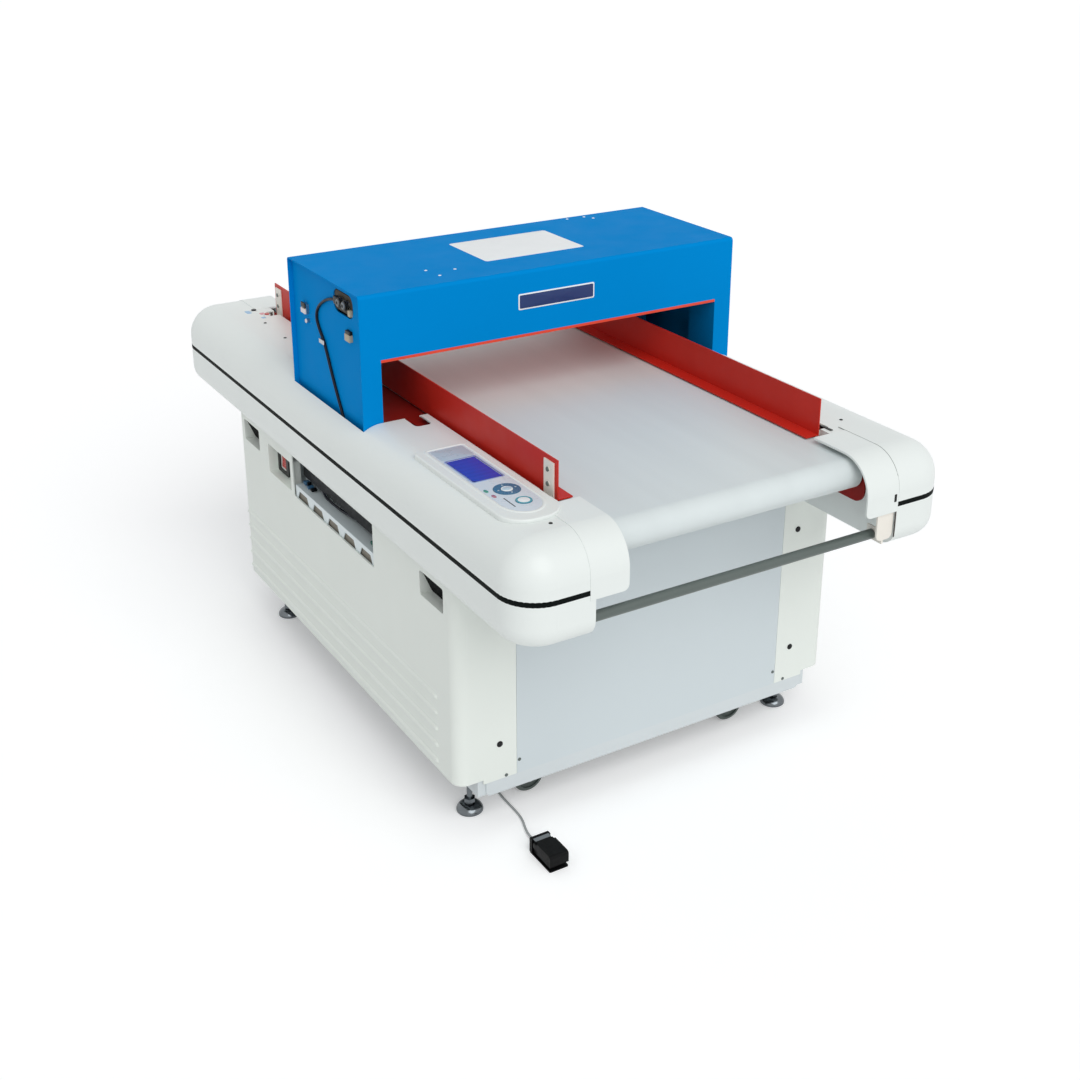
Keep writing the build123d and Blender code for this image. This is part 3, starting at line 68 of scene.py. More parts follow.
def add(tree, kind, settings=None, links=None):
    """Adds one node. Settings are attributes, or input values by name or number. Links feed its inputs."""
    node = tree.nodes.new(kind)
    for key, value in (settings or {}).items():
        if isinstance(key, int) or key in node.inputs:
            node.inputs[key].default_value = value
        else:
            setattr(node, key, value)
    for key, source in (links or {}).items():
        tree.links.new(source, node.inputs[key])
    return node


def per_mm(size):
    """Noise scale at which one feature is this many millimetres, on coordinates in metres."""
    return 1000.0 / size


def wave_scale(size):
    """Wave scale for bands this many millimetres apart, since the wave repeats 20 times as fast as noise."""
    return per_mm(size) / 20


def new_material(name):
    """An empty material with its Principled shader and Object coordinates."""
    material = bpy.data.materials.new(name)
    material.use_nodes = True
    tree = material.node_tree
    tree.nodes.clear()
    shader = add(tree, "ShaderNodeBsdfPrincipled")
    add(tree, "ShaderNodeOutputMaterial", links={"Surface": shader.outputs[0]})
    place = add(tree, "ShaderNodeTexCoord").outputs["Object"]
    return material, tree, shader, place


def finish(name, colour, roughness, grain_mm, grain_depth, mottle=0.06, mottle_mm=60, metallic=0.0, coat=0.0,
           rough_spread=0.06, shine=0.5):
    """A surface with a fine relief, a slow change of tone, and patches of more and less gloss.

    The tone is a mix of the colour and a darker one by noise as wide as mottle_mm. The relief is
    noise as wide as grain_mm and grain_depth millimetres deep. Shine is the level of mirror reflection.
    """
    material, tree, shader, place = new_material(name)
    base = linear(colour)
    dark = [c * (1 - 2 * mottle) for c in base[:3]] + [1]
    slow = add(tree, "ShaderNodeTexNoise", {"Scale": per_mm(mottle_mm), "Detail": 3.0}, {"Vector": place})
    tone = add(tree, "ShaderNodeMix", {"data_type": "RGBA", 6: base, 7: dark}, {0: slow.outputs["Fac"]})
    patches = add(tree, "ShaderNodeTexNoise", {"Scale": per_mm(mottle_mm * 0.4), "Detail": 4.0},
                  {"Vector": place})
    gloss = add(tree, "ShaderNodeMapRange",
                {"From Min": 0.3, "From Max": 0.7, "To Min": max(roughness - rough_spread, 0.02),
                 "To Max": roughness + rough_spread}, {"Value": patches.outputs["Fac"]})
    grain = add(tree, "ShaderNodeTexNoise", {"Scale": per_mm(grain_mm), "Detail": 2.0}, {"Vector": place})
    relief = add(tree, "ShaderNodeBump", {"Strength": 1.0, "Distance": grain_depth * MM},
                 {"Height": grain.outputs["Fac"]})
    tree.links.new(tone.outputs[2], shader.inputs["Base Color"])
    tree.links.new(gloss.outputs[0], shader.inputs["Roughness"])
    tree.links.new(relief.outputs[0], shader.inputs["Normal"])
    shader.inputs["Metallic"].default_value = metallic
    if coat:
        shader.inputs["Coat Weight"].default_value = coat
        shader.inputs["Coat Roughness"].default_value = 0.12
    shader.inputs["Specular IOR Level"].default_value = shine
    return material


def belt_fabric(name, colour):
    """PVC-coated polyester belting: a fabric imprint in the coating, and faint wear bands along the travel.

    The imprint's threads are 1 mm apart on such a belt, and drawn 3 mm apart so that they show.
    """
    material, tree, shader, place = new_material(name)
    base = linear(colour)
    dark = [c * 0.86 for c in base[:3]] + [1]
    thread = {"Scale": wave_scale(3), "Distortion": 0.4}
    warp = add(tree, "ShaderNodeTexWave", {"bands_direction": "X", **thread}, {"Vector": place})
    weft = add(tree, "ShaderNodeTexWave", {"bands_direction": "Y", **thread}, {"Vector": place})
    weave = add(tree, "ShaderNodeMath", {"operation": "MULTIPLY"},
                {0: warp.outputs["Fac"], 1: weft.outputs["Fac"]})
    along = add(tree, "ShaderNodeMapping", {"Scale": (1, 0.06, 1)}, {"Vector": place})
    bands = add(tree, "ShaderNodeTexNoise", {"Scale": per_mm(70), "Detail": 3.0},
                {"Vector": along.outputs[0]})
    tone = add(tree, "ShaderNodeMix", {"data_type": "RGBA", 6: base, 7: dark}, {0: bands.outputs["Fac"]})
    relief = add(tree, "ShaderNodeBump", {"Strength": 0.5, "Distance": 0.05 * MM},
                 {"Height": weave.outputs[0]})
    tree.links.new(tone.outputs[2], shader.inputs["Base Color"])
    tree.links.new(relief.outputs[0], shader.inputs["Normal"])
    shader.inputs["Roughness"].default_value = 0.46
    return material


def turned_metal(name, colour, roughness, groove_mm):
    """Turned or brushed metal: fine lines round or along the piece, from a wave as wide as groove_mm."""
    material, tree, shader, place = new_material(name)
    base = linear(colour)
    dark = [c * 0.8 for c in base[:3]] + [1]
    lines = add(tree, "ShaderNodeTexWave",
                {"bands_direction": "X", "Scale": wave_scale(groove_mm), "Distortion": 1.2, "Detail": 2.0},
                {"Vector": place})
    cloud = add(tree, "ShaderNodeTexNoise", {"Scale": per_mm(14), "Detail": 4.0}, {"Vector": place})
    tone = add(tree, "ShaderNodeMix", {"data_type": "RGBA", 6: base, 7: dark}, {0: cloud.outputs["Fac"]})
    gloss = add(tree, "ShaderNodeMapRange", {"To Min": roughness - 0.05, "To Max": roughness + 0.08},
                {"Value": cloud.outputs["Fac"]})
    relief = add(tree, "ShaderNodeBump", {"Strength": 0.35, "Distance": 0.03 * MM},
                 {"Height": lines.outputs["Fac"]})
    tree.links.new(tone.outputs[2], shader.inputs["Base Color"])
    tree.links.new(gloss.outputs[0], shader.inputs["Roughness"])
    tree.links.new(relief.outputs[0], shader.inputs["Normal"])
    shader.inputs["Metallic"].default_value = 1.0
    return material


def display_window(name, colour):
    """A blue display behind a clear window: rows of cells 2.4 mm apart show faintly under the gloss."""
    material, tree, shader, place = new_material(name)
    base = linear(colour)
    edge = [c * 0.78 for c in base[:3]] + [1]
    cells = add(tree, "ShaderNodeTexWave", {"bands_direction": "Y", "Scale": wave_scale(2.4)},
                {"Vector": place})
    glow = add(tree, "ShaderNodeTexNoise", {"Scale": per_mm(40), "Detail": 1.0}, {"Vector": place})
    both = add(tree, "ShaderNodeMath", {"operation": "MULTIPLY"},
               {0: cells.outputs["Fac"], 1: glow.outputs["Fac"]})
    tone = add(tree, "ShaderNodeMix", {"data_type": "RGBA", 6: base, 7: edge}, {0: both.outputs[0]})
    tree.links.new(tone.outputs[2], shader.inputs["Base Color"])
    shader.inputs["Roughness"].default_value = 0.24
    shader.inputs["Specular IOR Level"].default_value = 0.25
    return material


# Surfaces worked out with numpy


def grid_piece(name, points, material, body=MACHINE, loop_u=False, loop_v=False, smooth=True):
    """A mesh on a grid of points, rows by columns by 3, in metres. A looped direction joins its ends."""
    rows, columns = points.shape[:2]
    index = np.arange(rows * columns).reshape(rows, columns)
    if loop_u:
        index = np.vstack([index, index[:1]])
    if loop_v:
        index = np.hstack([index, index[:, :1]])
    faces = np.stack([index[:-1, :-1], index[:-1, 1:], index[1:, 1:], index[1:, :-1]], axis=-1).reshape(-1, 4)
    return whole_piece(name, points.reshape(-1, 3), faces, material, body, smooth)


def whole_piece(name, points, faces, material, body=MACHINE, smooth=True):
    """A mesh from points and four-sided faces, with its doubles merged, so that poles are closed."""
    mesh = bpy.data.meshes.new(name)
    mesh.from_pydata(points.tolist(), [], faces.tolist())
    piece = bpy.data.objects.new(name, mesh)
    bpy.context.scene.collection.objects.link(piece)
    merge(mesh)
    mesh.materials.append(material)
    mesh.polygons.foreach_set("use_smooth", [smooth] * len(mesh.polygons))
    if smooth:
        mesh.set_sharp_from_angle(angle=math.radians(38))
    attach(piece, body)
    return piece


def merge(mesh):
    """Merges doubled points, drops what that leaves flat, and turns every face outwards."""
    work = bmesh.new()
    work.from_mesh(mesh)
    bmesh.ops.remove_doubles(work, verts=work.verts, dist=1e-6)
    bmesh.ops.dissolve_degenerate(work, dist=1e-7, edges=work.edges)
    bmesh.ops.recalc_face_normals(work, faces=work.faces)
    work.to_mesh(mesh)
    work.free()


def turned(places, directions, profile, sides=28):
    """Surfaces of revolution: a profile of radius and height, turned about each place's direction.

    Point = place + height * direction + radius * (cos a * u + sin a * v), with u and v square to it.
    Returns the points and the faces of them all.
    """
    profile = np.asarray(profile, float) * MM
    angle = np.linspace(0, 2 * np.pi, sides, endpoint=False)
    step = np.arange(len(profile) * sides).reshape(len(profile), sides)
    after = np.roll(step, -1, 1)
    quads = np.stack([step[:-1], after[:-1], after[1:], step[1:]], -1).reshape(-1, 4)
    points, faces = [], []
    for count, (place, direction) in enumerate(zip(places, directions)):
        axis = np.asarray(direction, float)
        u = np.cross(axis, [0.3, 0.9, 0.2])
        u /= np.linalg.norm(u)
        v = np.cross(axis, u)
        ring = np.cos(angle)[:, None] * u + np.sin(angle)[:, None] * v
        height, radius = profile[:, 1, None, None], profile[:, 0, None, None]
        points.append((np.asarray(place, float) * MM + height * axis + radius * ring).reshape(-1, 3))
        faces.append(quads + count * len(profile) * sides)
    return np.vstack(points), np.vstack(faces)


def loop_rectangle(x, y, radius, count=96, round_low=None):
    """A closed outline: a rectangle with corners of one radius, or with other radii at its low-Y end.

    The four corner arcs are quarter circles, and the points are spread evenly along the outline.
    """
    low = radius if round_low is None else round_low
    corners = [(x[1], y[1], radius, 0.0), (x[0], y[1], radius, 0.5 * np.pi), (x[0], y[0], low, np.pi),
               (x[1], y[0], low, 1.5 * np.pi)]
    arcs = []
    for cx, cy, r, start in corners:
        a = start + np.linspace(0, 0.5 * np.pi, 17)
        mid = (cx - r * (1 if cx == x[1] else -1), cy - r * (1 if cy == y[1] else -1))
        arcs.append(np.stack([mid[0] + r * np.cos(a), mid[1] + r * np.sin(a)], 1))
    outline = np.vstack(arcs + [arcs[0][:1]])
    length = np.concatenate([[0], np.cumsum(np.linalg.norm(np.diff(outline, axis=0), axis=1))])
    at = np.linspace(0, length[-1], count, endpoint=False)
    return np.stack([np.interp(at, length, outline[:, 0]), np.interp(at, length, outline[:, 1])], 1)


def loop_pad(x, y, corner, oval, grow=0.0, count=160):
    """A closed outline with two round corners at its high-Y end and half an ellipse at its low-Y end.

    The ellipse is as wide as the outline and oval deep. Everything is grown outwards by a distance.
    """
    middle, half = (x[0] + x[1]) / 2, (x[1] - x[0]) / 2 + grow
    r = corner + grow
    a = np.linspace(0, 0.5 * np.pi, 13)
    right = np.stack([middle + half - r + r * np.cos(a), y[1] + grow - r + r * np.sin(a)], 1)
    left = right[::-1] * [-1, 1] + [2 * middle, 0]
    b = np.linspace(np.pi, 2 * np.pi, 49)
    low = np.stack([middle + half * np.cos(b), y[0] + oval + (oval + grow) * np.sin(b)], 1)
    outline = np.vstack([right, left, low, right[:1]])
    length = np.concatenate([[0], np.cumsum(np.linalg.norm(np.diff(outline, axis=0), axis=1))])
    at = np.linspace(0, length[-1], count, endpoint=False)
    return np.stack([np.interp(at, length, outline[:, 0]), np.interp(at, length, outline[:, 1])], 1)


def loop_circle(centre, radius, count=96):
    """A closed circle that starts at the same bearing as the rectangle loops do."""
    a = np.linspace(0, 2 * np.pi, count, endpoint=False)
    return np.stack([centre[0] + radius * np.cos(a), centre[1] + radius * np.sin(a)], 1)


def between(inner, outer, low, high, edge=0.0):
    """A flat ring between two loops, with its walls, and its outer edge rolled over by a small bevel.

    Rows run from the inner wall's foot, up, across to the outer loop, and down its wall. Looped both
    ways, the grid closes under the ring.
    """
    centre = inner.mean(0)
    start = np.argmin(np.abs(np.arctan2(*(outer - centre).T[::-1]) - np.arctan2(*(inner[0] - centre)[::-1])))
    outer = np.roll(outer, -start, 0)
    rows = [(inner, low), (inner, high), (outer + (centre - outer) * 0.004, high), (outer, high - edge),
            (outer, low)]
    return np.stack([np.column_stack([loop, np.full(len(loop), z)]) for loop, z in rows]) * MM


def plate(loop, low, high, edge):
    """A closed plate: from the middle of its underside out to its outline, up, over a rounded edge and in.

    The edge is a quarter circle of that radius, drawn towards the middle.
    """
    centre = loop.mean(0)
    reach = np.linalg.norm(loop - centre, axis=1, keepdims=True)
    unit = (loop - centre) / reach
    turn = np.linspace(0, 0.5 * np.pi, 6)
    rows = [(centre + (loop - centre) * 0.0, low), (loop, low)]
    rows += [(loop - unit * edge * (1 - np.cos(t)), high - edge + edge * np.sin(t)) for t in turn]
    rows += [(centre + (loop - centre) * 0.0, high)]
    return np.stack([np.column_stack([ring, np.full(len(ring), z)]) for ring, z in rows]) * MM


def tipped(points, origin, x_axis, y_axis):
    """Moves points from a flat drawing to a plane through origin with those two axes, in millimetres."""
    x_axis = np.asarray(x_axis, float)
    y_axis = np.asarray(y_axis, float)
    normal = np.cross(x_axis, y_axis)
    return (np.asarray(origin, float) * MM + points[..., :1] * x_axis + points[..., 1:2] * y_axis
            + points[..., 2:] * normal)


def side_plate(name, y, z, x, depth, material, corner=1.0, edge=0.6, body=MACHINE):
    """A rounded plate or block on a plane that faces the machine's left, x millimetres from the middle."""
    loop = loop_rectangle((-y[1], -y[0]), z, corner, count=64)
    return grid_piece(name, tipped(plate(loop, 0.0, depth, edge), (x, 0, 0), (0, -1, 0), (0, 0, 1)), material,
                      body, loop_v=True)


def top_plate(name, x, y, z, depth, material, corner=1.0, edge=0.2, body=MACHINE):
    """A rounded plate or block that lies z millimetres above the floor."""
    return grid_piece(name, plate(loop_rectangle(x, y, corner, count=64), z, z + depth, edge), material, body,
                      loop_v=True)


def route_curve(name, points_mm, radius_mm, material, body=MACHINE):
    """A cord on one smooth NURBS line whose control points are the route's, in millimetres."""
    curve = bpy.data.curves.new(name, "CURVE")
    curve.dimensions = "3D"
    curve.resolution_u = 12
    curve.bevel_depth = radius_mm * MM
    curve.bevel_resolution = 5
    curve.use_fill_caps = True
    spline = curve.splines.new("NURBS")
    spline.points.add(len(points_mm) - 1)
    flat = np.column_stack([np.asarray(points_mm, float) * MM, np.ones(len(points_mm))])
    spline.points.foreach_set("co", flat.ravel())
    spline.order_u = 3
    spline.use_endpoint_u = True
    curve.materials.append(material)
    piece = bpy.data.objects.new(name, curve)
    bpy.context.scene.collection.objects.link(piece)
    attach(piece, body)
    return piece


# What a user would change


class DetectorColours(bpy.types.PropertyGroup):
    """Paint and moulding colours."""
    arm_white: bpy.props.StringProperty(name="Arms", description="Colour of the moulded arms",
                                        default="#E8EDEA")
    cabinet_cream: bpy.props.StringProperty(name="Side covers", description="Colour of the side covers",
                                            default="#E9EEE8")
    panel_grey: bpy.props.StringProperty(name="Panels", description="Colour of the front and back panels",
                                         default="#CFD8DB")
    head_blue: bpy.props.StringProperty(name="Head", description="Colour of the sensing head",
                                        default="#0089D4")
    rail_red: bpy.props.StringProperty(name="Rails", description="Colour of the guide rails",
                                       default="#CE2D20")
    belt_grey: bpy.props.StringProperty(name="Belt", description="Colour of the belt", default="#DDE5E5")
    floor: bpy.props.StringProperty(name="Floor", description="Colour of the floor", default="#F7F7F7")


class DetectorSizes(bpy.types.PropertyGroup):
    """Sizes of the trim."""
    screw: bpy.props.FloatProperty(name="Screw", description="Diameter of the cover screws", default=8 * MM,
                                   unit="LENGTH")
    lead: bpy.props.FloatProperty(name="Lead", description="Diameter of the foot lead", default=5 * MM,
                                  unit="LENGTH")
    head_cable: bpy.props.FloatProperty(name="Head cable", description="Diameter of the cable on the head",
                                        default=6 * MM, unit="LENGTH")


class DetectorStudio(bpy.types.PropertyGroup):
    """Light and camera."""
    sky: bpy.props.FloatProperty(name="Sky", description="Strength of the light from all round", default=0.54)
    lamp: bpy.props.FloatProperty(name="Lamp", description="Strength of the wide lamp over the front",
                                  default=1.57)
    lamp_width: bpy.props.FloatProperty(name="Lamp width", description="How wide the lamp looks",
                                        default=math.radians(50), subtype="ANGLE")
    glow: bpy.props.FloatProperty(name="Floor glow", description="What the camera sees added to the floor",
                                  default=0.22)
    lens: bpy.props.FloatProperty(name="Lens", description="Focal length of the camera", default=48.956,
                                  unit="CAMERA")


MATERIALS = {}

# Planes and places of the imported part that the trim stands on, in millimetres
HEAD_TOP = 1010.0
HEAD_FRONT = -178.7
ARM_TOP = 744.0
STRIP_HEIGHT = 646.0
PLATE_EDGE = 349.0
KEYPAD_BASE = 750.0
KEY_TOP = 751.0
PANEL_FACE = 555.0
RING_KEY = (-370.0, -602.5)
START_KEY = (-368.5, -659.5)


def settings():
    """The three groups of settings on the scene."""
    scene = bpy.context.scene
    return scene.detector_colours, scene.detector_sizes, scene.detector_studio


# Operators


class DETECTOR_OT_finishes(bpy.types.Operator):
    """Gives every CAD node the finish of the real piece"""
    bl_idname = "detector.finishes"
    bl_label = "Finish the CAD nodes"

    def execute(self, context):
        colours, _, _ = settings()
        m = MATERIALS
        # ABS moulded in a polished tool: a satin gloss with hardly any grain.
        m["arm_abs"] = finish("satin_abs_white", colours.arm_white, 0.36, 1.6, 0.004, mottle=0.012,
                              mottle_mm=220, shine=0.35)
        # Etched ABS: the tool's spark texture kills the gloss.
        m["cabinet_abs"] = finish("etched_abs_cream", colours.cabinet_cream, 0.52, 1.4, 0.012, mottle=0.02,
                                  mottle_mm=180, shine=0.35)
        # Powder coat on sheet steel: orange peel some 3 mm wide.
        m["panel_coat"] = finish("powder_coat_pale_blue", colours.panel_grey, 0.44, 3, 0.01, mottle=0.015,
                                 mottle_mm=220, shine=0.35)
        m["chassis_coat"] = finish("powder_coat_grey", "#D3DADC", 0.45, 3, 0.014, mottle=0.03, mottle_mm=90)
        # Sprayed enamel: light orange peel.
        m["head_enamel"] = finish("satin_enamel_blue", colours.head_blue, 0.5, 2.4, 0.008, mottle=0.025,
                                  mottle_mm=180, shine=0.01)
        m["rail_enamel"] = finish("satin_enamel_red", colours.rail_red, 0.42, 2.4, 0.01, mottle=0.08,
                                  mottle_mm=110, shine=0.2)
        # The belt's side frames wear the same red enamel, painted darker as the shade they sit in under the
        # end plates and rails.
        m["frame_enamel_painted_shade"] = finish("satin_enamel_red_painted_shade", "#8E1B15", 0.46, 2.4, 0.01, mottle=0.1,
                                   mottle_mm=110, shine=0.15)
        # Polyethylene sheet: waxy, with no sharp gleam.
        m["liner"] = finish("red_hmw_polyethylene", "#E8452A", 0.44, 2.5, 0.02, mottle=0.05)
        m["belt"] = belt_fabric("pvc_belting_grey", colours.belt_grey)
        # Extruded and moulded rubber: dull and close to black.
        m["strip"] = finish("extruded_epdm_black", "#080E0D", 0.6, 1.5, 0.03, mottle=0.1, mottle_mm=20,
                            shine=0.06)
        m["rubber"] = finish("moulded_rubber_black", "#17181A", 0.62, 1.2, 0.06, mottle=0.12, mottle_mm=12,
                             shine=0.25)
        m["wheel"] = finish("moulded_wheel_grey_green", "#4E5854", 0.5, 1.2, 0.05, mottle=0.12, mottle_mm=14)
        # Turned and zinc-plated metal: fine lines that break up the gleam.
        m["roller"] = turned_metal("turned_aluminium", "#C4C8CB", 0.3, 1.2)
        m["zinc"] = turned_metal("zinc_plated_steel", "#B9BDC0", 0.28, 1.6)
        # Polished chrome: a sharp gleam between dark patches, which are painted reflection in its tone; its
        # darkened colour is painted reflection too.
        m["chrome"] = finish("polished_chrome_painted_reflection", "#7E8488", 0.2, 6, 0.008, mottle=0.25, mottle_mm=24,
                             metallic=1.0, rough_spread=0.06)
        # Enamelled bar and brackets: smooth, with a soft gleam.
        m["bar"] = finish("satin_enamel_grey_green", "#59635F", 0.36, 3, 0.012, mottle=0.05)
        m["bracket"] = finish("enamel_cream", "#F1ECE2", 0.35, 4, 0.012, mottle=0.04)
        # Castings and poured epoxy: a rough skin that scatters the light.
        m["casting"] = finish("painted_casting_grey", "#767C80", 0.5, 1.6, 0.1, mottle=0.1, mottle_mm=20)
        m["potting"] = finish("filled_epoxy_grey", "#8E949A", 0.55, 2, 0.04, mottle=0.08)
        m["motor"] = finish("cast_aluminium", "#A6ABAF", 0.42, 1.4, 0.08, mottle=0.08, mottle_mm=16,
                            metallic=1.0)
        m["tray"] = finish("enamel_pale_blue_grey", "#E2ECEE", 0.42, 3, 0.012, mottle=0.05)
        m["display"] = display_window("blue_display_window", "#3346BC")
        # Keys moulded in ABS: smooth, with a gleam on their edges.
        m["dial"] = finish("abs_teal_blue", "#2C6F93", 0.3, 2, 0.01, mottle=0.1, mottle_mm=12, coat=0.2)
        # This white also paints the head screws, as painted highlight.
        m["button"] = finish("abs_white_and_painted_highlight", "#EEF3F4", 0.3, 2, 0.01, mottle=0.03)
        # The same black paints the slots in the end plate and beside the rail, as painted shade.
        m["key_black"] = finish("abs_black_and_painted_shade", "#0F1112", 0.4, 2, 0.01, mottle=0.08, mottle_mm=10,
                                shine=0.25)
        m["key_red"] = finish("abs_red_gloss", "#C23A34", 0.28, 2, 0.01, mottle=0.08, mottle_mm=10)
        # Filled nylon for the pedal and PVC round the cords: dull, with hardly any gleam.
        m["pedal"] = finish("nylon_black", "#090A0B", 0.5, 1.0, 0.06, mottle=0.12, mottle_mm=14, shine=0.12)
        # A dark brown plate painted as the shadow in the gap between the right front strap and the shell.
        m["gap"] = finish("painted_shadow_dark_brown", "#2A1F1A", 0.6, 1.2, 0.04, mottle=0.1, mottle_mm=12)
        m["lead"] = finish("pvc_lead_grey", "#A9ACAC", 0.42, 2, 0.02, mottle=0.06, mottle_mm=25)
        m["cable"] = finish("pvc_cable_navy_black", "#0B1120", 0.45, 2, 0.02, mottle=0.1, mottle_mm=25,
                            shine=0.2)
        by_slot = {
            "chassis_paint": "chassis_coat", "cover_white": "arm_abs", "cabinet_cream": "cabinet_abs",
            "panel_grey": "panel_coat", "head_blue": "head_enamel", "rail_red": "rail_enamel",
            "liner_red": "liner", "belt_grey": "belt", "strip_black": "strip", "roller_metal": "roller",
            "steel": "zinc", "foot_chrome": "chrome", "wheel_black": "wheel", "bar_dark": "bar",
            "bracket_cream": "bracket", "bearing_grey": "casting", "sensor_grey": "potting",
            "motor_metal": "motor", "tray_green": "tray", "box_grey": "chassis_coat", "lcd_blue": "display",
            "dial_teal": "dial", "button_white": "button", "key_black": "key_black", "key_red": "key_red",
            "pedal_black": "pedal", "lead_grey": "lead", "cable_dark": "cable",
        }
        by_node = {"conveyor_side_frames": "frame_enamel_painted_shade"}
        for part in frame["record"]["subparts"]:
            node = NODES[part["node"]]
            for spot in node.material_slots:
                spot.link = "OBJECT"
                spot.material = m[by_node.get(part["node"], by_slot[part["material_slot"]])]
        return {"FINISHED"}


# The route's points are those of the part's source, in millimetres.
FOOT_ROUTE = [(-262.0, -250.0, 96.0), (-262.0, -250.0, 68.0), (-263.0, -256.0, 38.0), (-266.0, -278.0, 13.0),
              (-271.0, -312.0, 2.7), (-281.0, -352.0, 2.6), (-297.0, -392.0, 2.6), (-311.0, -430.0, 2.6),
              (-317.0, -470.0, 2.6), (-317.5, -505.0, 2.6), (-317.2, -538.0, 2.6), (-320.0, -566.0, 2.6),
              (-330.0, -594.0, 2.6), (-336.0, -618.0, 4.5), (-337.0, -640.0, 9.5), (-337.0, -656.6, 10.5)]
HEAD_ROUTE = [(-447.3, y, z) for y, z in
              [(-70.6, 974.0), (-46.0, 972.0), (-20.0, 966.0), (14.0, 951.0), (42.0, 931.0), (50.0, 908.0),
               (38.0, 888.0), (17.0, 868.0), (2.0, 842.0), (-17.0, 805.0), (-38.0, 768.0), (-62.0, 731.0),
               (-80.0, 697.0)]]


class DETECTOR_OT_foot_lead(bpy.types.Operator):
    """Lays the foot lead from its gland to the pedal"""
    bl_idname = "detector.foot_lead"
    bl_label = "Foot lead"

    def execute(self, context):
        _, sizes, _ = settings()
        lead = route_curve("foot_lead", FOOT_ROUTE, sizes.lead / MM / 2, MATERIALS["lead"])
        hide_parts("foot_cable")
        # The strain relief is a tapered sleeve: its radius falls along it, with three ribs.
        ribs = [(0, 0), (5.2, 0), (5.2, 2), (4.4, 3), (4.6, 6), (4.0, 7), (4.2, 10), (3.6, 11), (3.8, 14),
                (2.7, 17), (0, 17)]
        points, faces = turned([(-262, -250, 96)], [(0, 0, -1)], ribs)
        sleeve = whole_piece("lead_strain_relief", points, faces, MATERIALS["rubber"])
        return {"FINISHED"}


class DETECTOR_OT_head_cable(bpy.types.Operator):
    """Runs the cable on the head's end, held by its clip"""
    bl_idname = "detector.head_cable"
    bl_label = "Head cable"

    def execute(self, context):
        _, sizes, _ = settings()
        cable = route_curve("head_end_cable", HEAD_ROUTE, sizes.head_cable / MM / 2, MATERIALS["cable"])
        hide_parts("head_cable")
        return {"FINISHED"}


